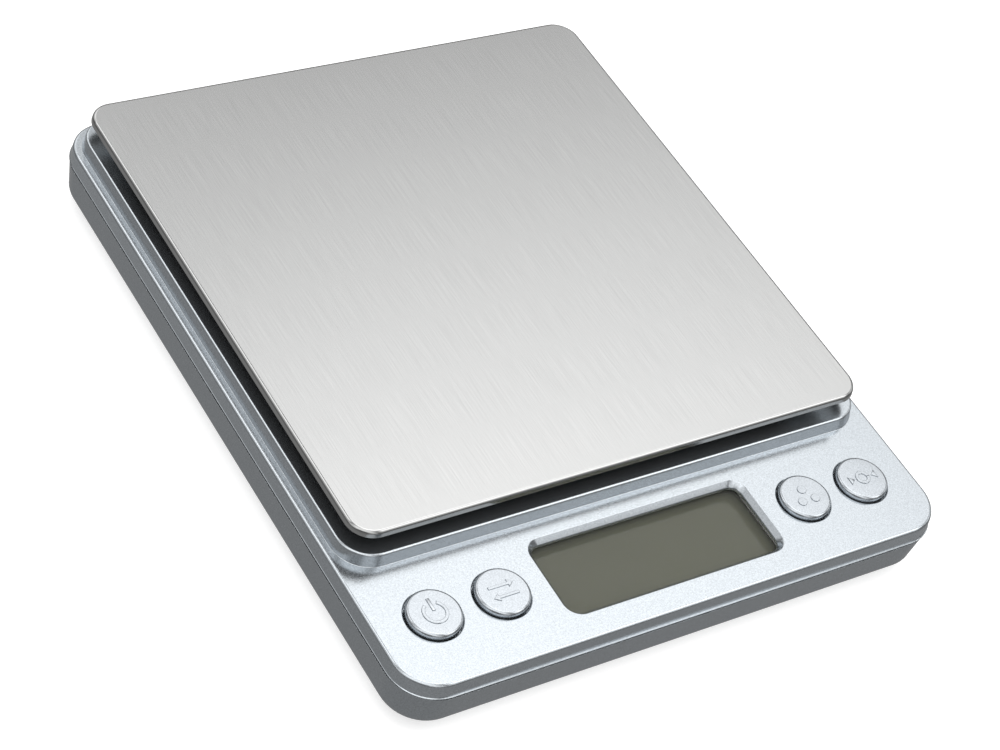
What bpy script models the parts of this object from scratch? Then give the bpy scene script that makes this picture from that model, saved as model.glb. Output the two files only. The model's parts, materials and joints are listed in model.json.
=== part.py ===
"""Digital gram scale: a flat silver case, a square steel pan, four round keys and a recessed display.

The scale stands on z = 0 on four rubber feet. The keys face the front at -Y, and the pan lies towards +Y.
Each piece is one closed solid. Pieces that touch on the real scale keep a gap of FIT here.
"""

import math

import bmesh
import bpy
from mathutils import Matrix, Vector

MM = 0.001
FIT = 0.3 * MM

# Driving dimensions of the case.
CASE_HALF_X = 53.0 * MM
CASE_HALF_Y = 63.5 * MM
FOOT_HEIGHT = 2.0 * MM
PARTING_Z = 9.8 * MM
DECK_Z = 12.7 * MM
PLINTH_Z = 15.0 * MM
PAN_TOP_Z = 19.0 * MM
WALL = 1.8 * MM
FLOOR = 1.5 * MM
CEILING = 1.4 * MM
CASE_CORNER = 8.0 * MM
DECK_CORNER = 7.0 * MM
DECK_LEAN = (0.34 * MM, 0.58 * MM)
BOTTOM_LEAN = 0.6 * MM
BOTTOM_ROUND = 2.4 * MM
RIM_ROUND = 0.3 * MM
CORNER_STEPS = 5

# The raised plinth under the pan, and the pan itself.
PAN_HALF_X = 50.0 * MM
PAN_FRONT_Y = -38.0 * MM
PAN_BACK_Y = 61.2 * MM
PAN_SHEET = 0.6 * MM
PAN_SKIRT = 1.3 * MM
PAN_CORNER = 4.4 * MM
PAN_ROUND = 0.8 * MM
PAN_Y = (PAN_FRONT_Y + PAN_BACK_Y) / 2
PLINTH_MARGIN = 1.3 * MM
PLINTH_LEAN = 0.5 * MM
PLINTH_CORNER = 6.0 * MM
PLINTH_WALL = 1.6 * MM
PLINTH_CEILING = 1.1 * MM
PLINTH_FRONT_EXTRA = 0.4 * MM
PLINTH_BACK_LESS = 0.6 * MM

# The lip of the lower case that locates the upper one.
LIP_THICK = 0.85 * MM
LIP_TOP_Z = PARTING_Z + 1.1 * MM
LIP_ROOT_Z = PARTING_Z - 1.4 * MM

# Display window, and the four keys.
WINDOW_HALF_X = 21.7 * MM
WINDOW_FRONT_Y = -58.6 * MM
WINDOW_BACK_Y = -42.9 * MM
WINDOW_LEAN = 0.5 * MM
WINDOW_CORNER = 2.0 * MM
LENS_OVERLAP = 1.5 * MM
LENS_THICK = 0.9 * MM
LENS_BACK_LESS = 0.5 * MM
KEY_NAMES = ("power", "mode", "count", "tare")
KEY_XS = (-42.4 * MM, -30.0 * MM, 30.0 * MM, 42.4 * MM)
KEY_Y = -50.8 * MM
KEY_RADIUS = 4.55 * MM
KEY_HOLE_RADIUS = 4.75 * MM
KEY_PROUD = 1.2 * MM
KEY_FLANGE_RADIUS = 5.6 * MM
KEY_FLANGE_THICK = 0.8 * MM
KEY_EDGE = 0.4 * MM
KEY_STEM_RADIUS = 1.3 * MM
KEY_TRAVEL = 0.6 * MM
SWITCH_SIDE = 6.0 * MM
SWITCH_HEIGHT = 1.9 * MM
SWITCH_BORE_RADIUS = 1.7 * MM
STEM_REACH = 0.4 * MM

# Circuit board and what it carries.
BOARD_HALF_X = 46.5 * MM
BOARD_FRONT_Y = -60.0 * MM
BOARD_BACK_Y = -30.0 * MM
BOARD_LOW_Z = 5.4 * MM
BOARD_TOP_Z = 7.0 * MM
BOARD_POST_XY = (24.0 * MM, -34.0 * MM)
BOARD_POST_RADIUS = 2.0 * MM
BLOB_XY = (0.0, -38.5 * MM)
BLOB_RADII = (4.5 * MM, 7.0 * MM)
CAPACITOR_XY = (12.0 * MM, -34.5 * MM)
CAPACITOR_RADIUS = 2.0 * MM
CAPACITOR_HALF_LENGTH = 3.5 * MM
CRYSTAL_XY = (-12.5 * MM, -34.5 * MM)
CRYSTAL_HALF = (4.5 * MM, 1.7 * MM)
CRYSTAL_HEIGHT = 2.6 * MM
STRIP_HALF_X = 18.0 * MM
STRIP_DEPTH = 2.0 * MM
GLASS_LOW_Z = 8.5 * MM
GLASS_TOP_Z = 9.8 * MM

# Load cell.
CELL_HALF_X = 31.0 * MM
CELL_HALF_Y = 6.0 * MM
CELL_LOW_Z = 5.0 * MM
CELL_TOP_Z = 11.0 * MM
CELL_SCREW_XS = (18.0 * MM, 26.0 * MM)
CELL_BORE_RADIUS = 1.65 * MM
CELL_SCREW = (2.7 * MM, 1.3 * MM, 1.1 * MM)
CELL_SINK_RADIUS = 3.0 * MM
FLEXURE_RADIUS = 2.2 * MM
FLEXURE_X = 5.5 * MM
GAUGE_COVER_HALF = (9.0 * MM, 5.2 * MM)
GAUGE_COVER_THICK = 1.0 * MM
LEAD_RADIUS = 0.4 * MM
POST_X = 22.0 * MM
POST_HALF = (8.5 * MM, 6.0 * MM)
POST_OPENING_GAP = 1.5 * MM
SUPPORT_HALF = 44.0 * MM
SUPPORT_LOW_Z = 15.9 * MM
SUPPORT_TOP_Z = 17.2 * MM
SUPPORT_WINDOW_X = (8.0 * MM, 36.0 * MM)
SUPPORT_WINDOW_Y = (10.0 * MM, 34.0 * MM)

# Battery bay, its two AAA cells and its door.
BATTERY_RADIUS = 5.2 * MM
BATTERY_LENGTH = 44.5 * MM
BATTERY_NUB = (1.9 * MM, 1.0 * MM)
BATTERY_YS = (38.0 * MM, 49.2 * MM)
BATTERY_Z = 8.4 * MM
BAY_HALF_X = 25.0 * MM
BAY_FRONT_Y = 32.3 * MM
BAY_BACK_Y = 54.9 * MM
BAY_WALL = 1.2 * MM
BAY_TOP_Z = 11.0 * MM
PLATE_THICK = 0.4 * MM
PLATE_OUT_X = 24.7 * MM
DOOR_THICK = 1.0 * MM
TAB_X = 15.0 * MM
TAB_HALF_X = 3.0 * MM
LATCH_HALF_X = 3.6 * MM
SLIT_X = 4.6 * MM
SLIT_LENGTH = 6.0 * MM
SCOOP_HALF_X = 5.0 * MM
SCOOP_REACH = 3.0 * MM
SCOOP_DEPTH = 0.8 * MM
SPRING_RADII = (3.4 * MM, 2.0 * MM)
SPRING_WIRE_RADIUS = 0.3 * MM
BATTERY_LEAD_RADIUS = 0.45 * MM

# Fasteners and feet, as positions in a quadrant that repeats.
FOOT_XY = (44.5 * MM, 55.0 * MM)
FOOT_RADIUS = 4.5 * MM
FOOT_SEAT = 0.8 * MM
CASE_SCREW_X = 36.2 * MM
CASE_SCREW_YS = (-57.5 * MM, 57.5 * MM)
BOSS_RADIUS = 2.7 * MM
BOSS_SPLIT_Z = 7.85 * MM
CASE_SCREW = (2.1 * MM, 1.05 * MM, 1.3 * MM)
CASE_BORE_RADIUS = 1.4 * MM
CASE_SINK = (2.5 * MM, 2.2 * MM)
BOARD_SCREW = (1.8 * MM, 0.85 * MM, 0.9 * MM)
BOARD_BORE_RADIUS = 1.15 * MM
BOARD_SCREW_YS = (-43.6 * MM, -33.0 * MM)
BOARD_BOSS_RADIUS = 2.1 * MM
PAD_XY = (40.0 * MM, 39.5 * MM)
PAD_RADIUS = 4.0 * MM
LABEL_HALF_X = 30.0 * MM
LABEL_YS = (-46.0 * MM, -14.0 * MM)
LABEL_MARGIN = 0.4 * MM

MATERIALS = {
    "silver_paint": ((0.72, 0.75, 0.78), 0.38, 0.6),
    "steel": ((0.70, 0.69, 0.67), 0.30, 1.0),
    "screw_steel": ((0.55, 0.56, 0.58), 0.35, 1.0),
    "key_paint": ((0.76, 0.79, 0.81), 0.40, 0.5),
    "clear_lens": ((0.75, 0.76, 0.72), 0.08, 0.0),
    "display_glass": ((0.16, 0.16, 0.13), 0.25, 0.0),
    "black_plastic": ((0.02, 0.02, 0.02), 0.45, 0.0),
    "white_plastic": ((0.80, 0.80, 0.78), 0.45, 0.0),
    "black_rubber": ((0.03, 0.03, 0.03), 0.80, 0.0),
    "green_board": ((0.02, 0.16, 0.07), 0.45, 0.0),
    "aluminium": ((0.80, 0.81, 0.82), 0.40, 1.0),
    "white_potting": ((0.85, 0.85, 0.82), 0.60, 0.0),
    "battery_wrap": ((0.10, 0.14, 0.22), 0.35, 0.2),
    "nickel": ((0.66, 0.64, 0.58), 0.28, 1.0),
    "red_wire": ((0.55, 0.02, 0.02), 0.50, 0.0),
    "black_wire": ((0.02, 0.02, 0.02), 0.50, 0.0),
    "green_wire": ((0.02, 0.30, 0.08), 0.50, 0.0),
    "white_wire": ((0.80, 0.80, 0.80), 0.50, 0.0),
    "label": ((0.70, 0.71, 0.72), 0.50, 0.0),
}


def clear_scene():
    for old in list(bpy.data.objects):
        bpy.data.objects.remove(old, do_unlink=True)


def new_collection(name):
    made = bpy.data.collections.new(name)
    bpy.context.scene.collection.children.link(made)
    return made


def new_material(name, colour, roughness, metallic):
    made = bpy.data.materials.new(name)
    made.use_nodes = True
    shader = made.node_tree.nodes["Principled BSDF"]
    shader.inputs["Base Color"].default_value = (*colour, 1.0)
    shader.inputs["Roughness"].default_value = roughness
    shader.inputs["Metallic"].default_value = metallic
    return made


clear_scene()
PARTS = new_collection("digital_gram_scale")
CUTTERS = new_collection("cutters")
FINISH = {name: new_material(name, *values) for name, values in MATERIALS.items()}


def bevel(shape, edges, radius, steps):
    bmesh.ops.bevel(
        shape, geom=edges, offset=radius, offset_type="OFFSET", segments=steps, profile=0.5, affect="EDGES",
        clamp_overlap=False,
    )


def level_edges(shape, z):
    """The edges that lie in the plane at height z."""
    return [edge for edge in shape.edges if all(abs(vert.co.z - z) < 1e-7 for vert in edge.verts)]


def block(
    low, high, corner=0.0, lean_low=(0.0, 0.0), lean_high=(0.0, 0.0), round_low=0.0, round_high=0.0, steps=2,
):
    """A box with rounded upright corners, whose walls may lean in and whose rims may be rounded."""
    shape = bmesh.new()
    bmesh.ops.create_cube(shape, size=1.0)
    middle = (Vector(low) + Vector(high)) / 2
    half = (Vector(high) - Vector(low)) / 2
    for vert in shape.verts:
        lean = lean_high if vert.co.z > 0 else lean_low
        vert.co.x = middle.x + math.copysign(half.x - lean[0], vert.co.x)
        vert.co.y = middle.y + math.copysign(half.y - lean[1], vert.co.y)
        vert.co.z = middle.z + math.copysign(half.z, vert.co.z)
    if corner:
        upright = [edge for edge in shape.edges if abs(edge.verts[0].co.z - edge.verts[1].co.z) > half.z]
        bevel(shape, upright, corner, CORNER_STEPS)
    if round_low:
        bevel(shape, level_edges(shape, low[2]), round_low, steps)
    if round_high:
        bevel(shape, level_edges(shape, high[2]), round_high, steps)
    return shape


def disc(centre, low_z, high_z, radius, sides=16, top_radius=None):
    """An upright cylinder, or a cone if top_radius is given."""
    shape = bmesh.new()
    middle = Vector((centre[0], centre[1], (low_z + high_z) / 2))
    top = radius if top_radius is None else top_radius
    bmesh.ops.create_cone(
        shape, cap_ends=True, segments=sides, radius1=radius, radius2=top, depth=high_z - low_z,
        matrix=Matrix.Translation(middle),
    )
    return shape


def gather(shapes):
    """One bmesh that holds several shapes, which stay clear of each other."""
    whole = bmesh.new()
    for shape in shapes:
        carrier = bpy.data.meshes.new("carrier")
        shape.to_mesh(carrier)
        shape.free()
        whole.from_mesh(carrier)
        bpy.data.meshes.remove(carrier)
    return whole


def shade(mesh):
    mesh.shade_smooth()
    mesh.set_sharp_from_angle(angle=math.radians(35))


def add_piece(name, shape, finish, origin=(0.0, 0.0, 0.0), collection=None):
    """An object made from a bmesh in world coordinates, with its own origin."""
    bmesh.ops.translate(shape, verts=shape.verts, vec=-Vector(origin))
    mesh = bpy.data.meshes.new(name)
    shape.to_mesh(mesh)
    shape.free()
    shade(mesh)
    mesh.materials.append(FINISH[finish])
    piece = bpy.data.objects.new(name, mesh)
    piece.location = origin
    (collection or PARTS).objects.link(piece)
    return piece


def apply_tool(piece, operation, shape):
    """Adds a Boolean to a piece, with its tool kept in the cutters' collection."""
    name = f"{piece.name}_{operation.lower()}_{len(piece.modifiers)}"
    tool = add_piece(name, shape, "black_plastic", collection=CUTTERS)
    tool.hide_render = True
    tool.display_type = "WIRE"
    boolean = piece.modifiers.new(name, "BOOLEAN")
    boolean.operation = operation
    boolean.object = tool
    boolean.solver = "EXACT"


def join(piece, *shapes):
    apply_tool(piece, "UNION", gather(shapes))


def cut(piece, *shapes):
    apply_tool(piece, "DIFFERENCE", gather(shapes))


def turned(name, profile, finish, origin, axis_turn=None, sides=24):
    """A turned piece. The profile's (radius, height) pairs run down its outer side from the top."""
    mesh = bpy.data.meshes.new(name)
    points = [(radius, 0.0, height) for radius, height in profile]
    mesh.from_pydata(points, [(i, i + 1) for i in range(len(points) - 1)], [])
    mesh.materials.append(FINISH[finish])
    piece = bpy.data.objects.new(name, mesh)
    piece.location = origin
    if axis_turn:
        piece.rotation_euler = axis_turn
    PARTS.objects.link(piece)
    screw = piece.modifiers.new("turn", "SCREW")
    screw.axis = "Z"
    screw.steps = sides
    screw.render_steps = sides
    screw.use_merge_vertices = True
    screw.merge_threshold = 0.00001
    screw.use_smooth_shade = False
    return piece


def quarter_arc(centre_radius, centre_height, radius, start, end, steps=2):
    """Profile points on an arc, with angles in degrees from the outward direction."""
    angles = [math.radians(start + (end - start) * i / steps) for i in range(steps + 1)]
    return [(centre_radius + radius * math.cos(a), centre_height + radius * math.sin(a)) for a in angles]


def smooth_route(knots, per_span=5):
    """Points on a Catmull-Rom curve through the route's own points."""
    ends = [2 * knots[0] - knots[1]] + knots + [2 * knots[-1] - knots[-2]]
    points = []
    for a, b, c, d in zip(ends, ends[1:], ends[2:], ends[3:]):
        for i in range(per_span):
            t = i / per_span
            linear = (c - a) * t
            square = (2 * a - 5 * b + 4 * c - d) * t * t
            cube = (3 * b - a - 3 * c + d) * t * t * t
            points.append((2 * b + linear + square + cube) / 2)
    return points + [knots[-1]]


def wire(name, points, radius, finish):
    """A round wire along a list of points, with flat ends."""
    curve = bpy.data.curves.new(name, "CURVE")
    curve.dimensions = "3D"
    curve.bevel_depth = radius
    curve.bevel_resolution = 2
    curve.use_fill_caps = True
    spline = curve.splines.new("POLY")
    spline.points.add(len(points) - 1)
    for slot, point in zip(spline.points, points):
        slot.co = (*point, 1.0)
    curve.materials.append(FINISH[finish])
    piece = bpy.data.objects.new(name, curve)
    PARTS.objects.link(piece)
    return piece


def corners(x, y):
    """The four mirror positions of a point, named."""
    return {
        "front_left": (-x, -y),
        "front_right": (x, -y),
        "rear_left": (-x, y),
        "rear_right": (x, y),
    }


def screw_spots(x, ys):
    return {f"{end}_{side}": (sign * x, y) for end, y in zip(("front", "rear"), ys)
            for side, sign in (("left", -1), ("right", 1))}


def screw_piece(name, centre, head_z, tip_z, size):
    """A pan-head screw with a crossed drive, from the outer face at head_z to tip_z.

    Its size is its head's radius, its shaft's radius and its head's height.
    """
    head_radius, shaft_radius, head_height = size
    inward = math.copysign(1.0, tip_z - head_z)
    seat_z = head_z + inward * head_height
    head = disc(centre, min(head_z, seat_z), max(head_z, seat_z), head_radius)
    piece = add_piece(name, head, "screw_steel")
    root_z = seat_z - inward * head_height / 2
    join(piece, disc(centre, min(root_z, tip_z), max(root_z, tip_z), shaft_radius, 10))
    reach = head_radius * 0.62
    slot = head_radius * 0.14
    low_z = min(head_z - inward * MM, head_z + inward * head_height * 0.4)
    high_z = max(head_z - inward * MM, head_z + inward * head_height * 0.4)
    x, y = centre[0], centre[1]
    cut(piece, block((x - reach, y - slot, low_z), (x + reach, y + slot, high_z)))
    cut(piece, block((x - slot, y - reach, low_z), (x + slot, y + reach, high_z)))
    return piece


def bay_block(margin, low_z, high_z):
    """The battery bay's plan, grown by margin."""
    low = (-BAY_HALF_X - margin, BAY_FRONT_Y - margin, low_z)
    high = (BAY_HALF_X + margin, BAY_BACK_Y + margin, high_z)
    return block(low, high)


def case_block(shrink, low_z, high_z, corner, **rims):
    """The case's plan, shrunk on all sides."""
    x = CASE_HALF_X - shrink
    y = CASE_HALF_Y - shrink
    return block((-x, -y, low_z), (x, y, high_z), corner, **rims)


def make_bottom_case():
    top_z = PARTING_Z - FIT / 2
    floor_z = FOOT_HEIGHT + FLOOR
    lip_shrink = WALL + FIT
    lean = (BOTTOM_LEAN, BOTTOM_LEAN)
    outer = case_block(0.0, FOOT_HEIGHT, top_z, CASE_CORNER, lean_low=lean, round_low=BOTTOM_ROUND, steps=3)
    piece = add_piece("bottom_case", outer, "silver_paint")
    join(piece, case_block(lip_shrink, LIP_ROOT_Z, LIP_TOP_Z, CASE_CORNER - lip_shrink))
    inner = CASE_CORNER - WALL - LIP_THICK
    cut(piece, case_block(WALL, floor_z, LIP_ROOT_Z + 0.4 * MM, inner, lean_low=lean, round_low=MM))
    cut(piece, case_block(lip_shrink + LIP_THICK, floor_z + 2 * MM, LIP_TOP_Z + MM, inner))

    spots = list(screw_spots(CASE_SCREW_X, CASE_SCREW_YS).values())
    sunk_z = floor_z - 0.5 * MM
    join(piece, *[disc(spot, sunk_z, BOSS_SPLIT_Z - FIT / 2, BOSS_RADIUS) for spot in spots])
    pedestal_low = (-CELL_HALF_X, PAN_Y - CELL_HALF_Y, sunk_z)
    pedestal_high = (-POST_X + POST_HALF[0], PAN_Y + CELL_HALF_Y, CELL_LOW_Z - FIT)
    post_x, post_y = BOARD_POST_XY
    posts = [disc((x, post_y), sunk_z, BOARD_LOW_Z - FIT, BOARD_POST_RADIUS) for x in (-post_x, post_x)]
    join(piece, block(pedestal_low, pedestal_high), bay_block(BAY_WALL, sunk_z, BAY_TOP_Z), *posts)

    below = FOOT_HEIGHT - MM
    cut(piece, bay_block(0.0, below, BAY_TOP_Z + MM))
    tab_slots = [
        block(
            (side * TAB_X - TAB_HALF_X - FIT, BAY_FRONT_Y - BAY_WALL - 0.5 * MM, FOOT_HEIGHT + 0.5 * MM),
            (side * TAB_X + TAB_HALF_X + FIT, BAY_FRONT_Y + 0.3 * MM, FOOT_HEIGHT + 3.5 * MM),
        )
        for side in (-1, 1)
    ]
    scoop_low = (-SCOOP_HALF_X, BAY_BACK_Y - 0.3 * MM, below)
    scoop_high = (SCOOP_HALF_X, BAY_BACK_Y + SCOOP_REACH, FOOT_HEIGHT + SCOOP_DEPTH)
    cut(piece, *tab_slots, block(scoop_low, scoop_high, 1.4 * MM))
    sink_radius, sink_depth = CASE_SINK
    cut(piece, *[disc(spot, below, BOSS_SPLIT_Z + MM, CASE_BORE_RADIUS) for spot in spots])
    cut(piece, *[disc(spot, below, FOOT_HEIGHT + sink_depth, sink_radius) for spot in spots])
    cell_spots = [(-x, PAN_Y) for x in CELL_SCREW_XS]
    cut(piece, *[disc(spot, below, CELL_LOW_Z + MM, CELL_BORE_RADIUS) for spot in cell_spots])
    cut(piece, *[disc(spot, below, FOOT_HEIGHT + 1.6 * MM, CELL_SINK_RADIUS) for spot in cell_spots])
    feet = corners(*FOOT_XY).values()
    cut(piece, *[disc(spot, below, FOOT_HEIGHT + FOOT_SEAT, FOOT_RADIUS + FIT) for spot in feet])
    cut(piece, label_block(LABEL_MARGIN, below, FOOT_HEIGHT + 0.5 * MM))


def label_block(margin, low_z, high_z):
    """The blank label's plan, grown by margin."""
    low = (-LABEL_HALF_X - margin, LABEL_YS[0] - margin, low_z)
    high = (LABEL_HALF_X + margin, LABEL_YS[1] + margin, high_z)
    return block(low, high, 2 * MM)


def plinth_block(shrink, low_z, high_z, corner, **rims):
    """The plinth's plan, which is the pan's grown by a margin, shrunk on all sides."""
    grow = PLINTH_MARGIN - shrink
    low = (-PAN_HALF_X - grow, PAN_FRONT_Y - grow - PLINTH_FRONT_EXTRA, low_z)
    high = (PAN_HALF_X + grow, PAN_BACK_Y + grow - PLINTH_BACK_LESS, high_z)
    return block(low, high, corner, **rims)


def make_top_case():
    low_z = PARTING_Z + FIT / 2
    outer = case_block(0.0, low_z, DECK_Z, DECK_CORNER, lean_high=DECK_LEAN, round_high=RIM_ROUND, steps=1)
    piece = add_piece("top_case", outer, "silver_paint")
    rims = {"lean_high": (PLINTH_LEAN, PLINTH_LEAN), "round_high": RIM_ROUND, "steps": 1}
    join(piece, plinth_block(0.0, DECK_Z - MM, PLINTH_Z, PLINTH_CORNER, **rims))
    cut(piece, case_block(WALL, low_z - MM, DECK_Z - CEILING, DECK_CORNER - WALL))
    cut(piece, plinth_block(PLINTH_WALL, low_z - MM, PLINTH_Z - PLINTH_CEILING, PLINTH_CORNER - PLINTH_WALL))

    deck_root = DECK_Z - CEILING / 2
    plinth_root = PLINTH_Z - PLINTH_CEILING / 2
    case_spots = screw_spots(CASE_SCREW_X, CASE_SCREW_YS)
    board_spots = screw_spots(CASE_SCREW_X, BOARD_SCREW_YS)
    board_boss_z = BOARD_TOP_Z + FIT
    boss_z = BOSS_SPLIT_Z + FIT / 2
    bosses = []
    for name, spot in case_spots.items():
        root = deck_root if name.startswith("front") else plinth_root
        bosses.append(disc(spot, boss_z, root, BOSS_RADIUS))
    for name, spot in board_spots.items():
        root = deck_root if name.startswith("front") else plinth_root
        bosses.append(disc(spot, board_boss_z, root, BOARD_BOSS_RADIUS))
    join(piece, *bosses)
    bores = [disc(spot, boss_z - MM, boss_z + 2.6 * MM, CASE_BORE_RADIUS) for spot in case_spots.values()]
    for spot in board_spots.values():
        bores.append(disc(spot, board_boss_z - MM, board_boss_z + 2.8 * MM, BOARD_BORE_RADIUS, 12))
    cut(piece, *bores)

    below = DECK_Z - CEILING - 0.4 * MM
    above = DECK_Z + 0.4 * MM
    slope = WINDOW_LEAN * (above - below) / (DECK_Z - below - 0.2 * MM)
    window = block(
        (-WINDOW_HALF_X, WINDOW_FRONT_Y, below), (WINDOW_HALF_X, WINDOW_BACK_Y, above), WINDOW_CORNER,
        lean_low=(slope, slope),
    )
    holes = [disc((x, KEY_Y), below, above, KEY_HOLE_RADIUS, 28) for x in KEY_XS]
    gap = POST_OPENING_GAP
    opening = block(
        (POST_X - POST_HALF[0] - gap, PAN_Y - POST_HALF[1] - gap, DECK_Z),
        (POST_X + POST_HALF[0] + gap, PAN_Y + POST_HALF[1] + gap, PLINTH_Z + MM), 2 * MM,
    )
    cut(piece, window, opening, *holes)


def make_display():
    lens_top = DECK_Z - CEILING - FIT
    lens = block(
        (-WINDOW_HALF_X - LENS_OVERLAP, WINDOW_FRONT_Y - LENS_OVERLAP, lens_top - LENS_THICK),
        (WINDOW_HALF_X + LENS_OVERLAP, WINDOW_BACK_Y + LENS_OVERLAP - LENS_BACK_LESS, lens_top), MM,
    )
    add_piece("lcd_window", lens, "clear_lens")
    glass_low = Vector((-WINDOW_HALF_X, WINDOW_FRONT_Y, GLASS_LOW_Z))
    glass_high = Vector((WINDOW_HALF_X, WINDOW_BACK_Y, GLASS_TOP_Z))
    add_piece("lcd_panel", block(glass_low, glass_high), "display_glass")
    rim = Vector((1.5 * MM, 1.5 * MM, 0.0))
    clear = Vector((FIT, FIT, MM))
    frame_low = Vector((glass_low.x, glass_low.y, BOARD_TOP_Z + FIT))
    frame = add_piece("lcd_frame", block(frame_low - rim, glass_high + rim, MM), "white_plastic")
    cut(frame, block(frame_low - clear, glass_high + clear))
    strip_back_y = WINDOW_BACK_Y - MM
    strip_low = (-STRIP_HALF_X, strip_back_y - STRIP_DEPTH, BOARD_TOP_Z + FIT)
    strip_high = (STRIP_HALF_X, strip_back_y, GLASS_LOW_Z - FIT)
    add_piece("zebra_strip", block(strip_low, strip_high), "black_rubber")


def make_circuit_board():
    low = (-BOARD_HALF_X, BOARD_FRONT_Y, BOARD_LOW_Z)
    high = (BOARD_HALF_X, BOARD_BACK_Y, BOARD_TOP_Z)
    board = add_piece("circuit_board", block(low, high, MM), "green_board")
    notch_half = BOSS_RADIUS + 0.7 * MM
    notches = [
        block(
            (side * CASE_SCREW_X - notch_half, BOARD_FRONT_Y - 4 * MM, BOARD_LOW_Z - MM),
            (side * CASE_SCREW_X + notch_half, CASE_SCREW_YS[0] + notch_half, BOARD_TOP_Z + MM), MM,
        )
        for side in (-1, 1)
    ]
    spots = screw_spots(CASE_SCREW_X, BOARD_SCREW_YS)
    holes = [disc(spot, BOARD_LOW_Z - MM, BOARD_TOP_Z + MM, 1.2 * MM, 12) for spot in spots.values()]
    cut(board, *notches, *holes)

    floor_z = FOOT_HEIGHT + FLOOR
    blob = disc(BLOB_XY, floor_z + 0.4 * MM, BOARD_LOW_Z - FIT, BLOB_RADII[0], 20, BLOB_RADII[1])
    add_piece("chip_blob", blob, "black_plastic")
    seat_z = BOARD_TOP_Z + FIT
    radius, half, edge = CAPACITOR_RADIUS, CAPACITOR_HALF_LENGTH, 0.3 * MM
    body = [(0.0, half), (radius - edge, half), (radius, half - edge)]
    body += [(radius, edge - half), (radius - edge, -half), (0.0, -half)]
    turn = (0.0, math.radians(90), 0.0)
    turned("capacitor", body, "black_plastic", (*CAPACITOR_XY, seat_z + radius), turn, 16)
    middle = Vector((*CRYSTAL_XY, seat_z))
    can_half = Vector((*CRYSTAL_HALF, 0.0))
    can_high = middle + can_half + Vector((0.0, 0.0, CRYSTAL_HEIGHT))
    can = block(middle - can_half, can_high, 1.5 * MM, round_high=0.4 * MM, steps=2)
    add_piece("crystal_can", can, "nickel")
    head_z = BOARD_LOW_Z - FIT - BOARD_SCREW[2]
    for name, spot in spots.items():
        screw_piece(f"board_screw_{name}", spot, head_z, BOARD_TOP_Z + 2.4 * MM, BOARD_SCREW)


def make_keys():
    ceiling_z = DECK_Z - CEILING
    flange_top = ceiling_z - FIT
    flange_low = flange_top - KEY_FLANGE_THICK
    top_z = DECK_Z + KEY_PROUD
    switch_low = BOARD_TOP_Z + FIT
    switch_top = switch_low + SWITCH_HEIGHT
    stem_z = switch_top - STEM_REACH
    outline = [(0.0, top_z)]
    outline += quarter_arc(KEY_RADIUS - KEY_EDGE, top_z - KEY_EDGE, KEY_EDGE, 90, 0)
    outline += [(KEY_RADIUS, flange_top), (KEY_FLANGE_RADIUS, flange_top), (KEY_FLANGE_RADIUS, flange_low)]
    outline += [(KEY_STEM_RADIUS, flange_low), (KEY_STEM_RADIUS, stem_z), (0.0, stem_z)]
    profile = [(radius, z - DECK_Z) for radius, z in outline]
    for name, x in zip(KEY_NAMES, KEY_XS):
        turned(f"button_{name}", profile, "key_paint", (x, KEY_Y, DECK_Z))
        half = SWITCH_SIDE / 2
        body = block((x - half, KEY_Y - half, switch_low), (x + half, KEY_Y + half, switch_top), 0.4 * MM)
        switch = add_piece(f"switch_{name}", body, "black_plastic")
        cut(switch, disc((x, KEY_Y), stem_z - KEY_TRAVEL - 0.2 * MM, switch_top + MM, SWITCH_BORE_RADIUS, 12))


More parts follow.
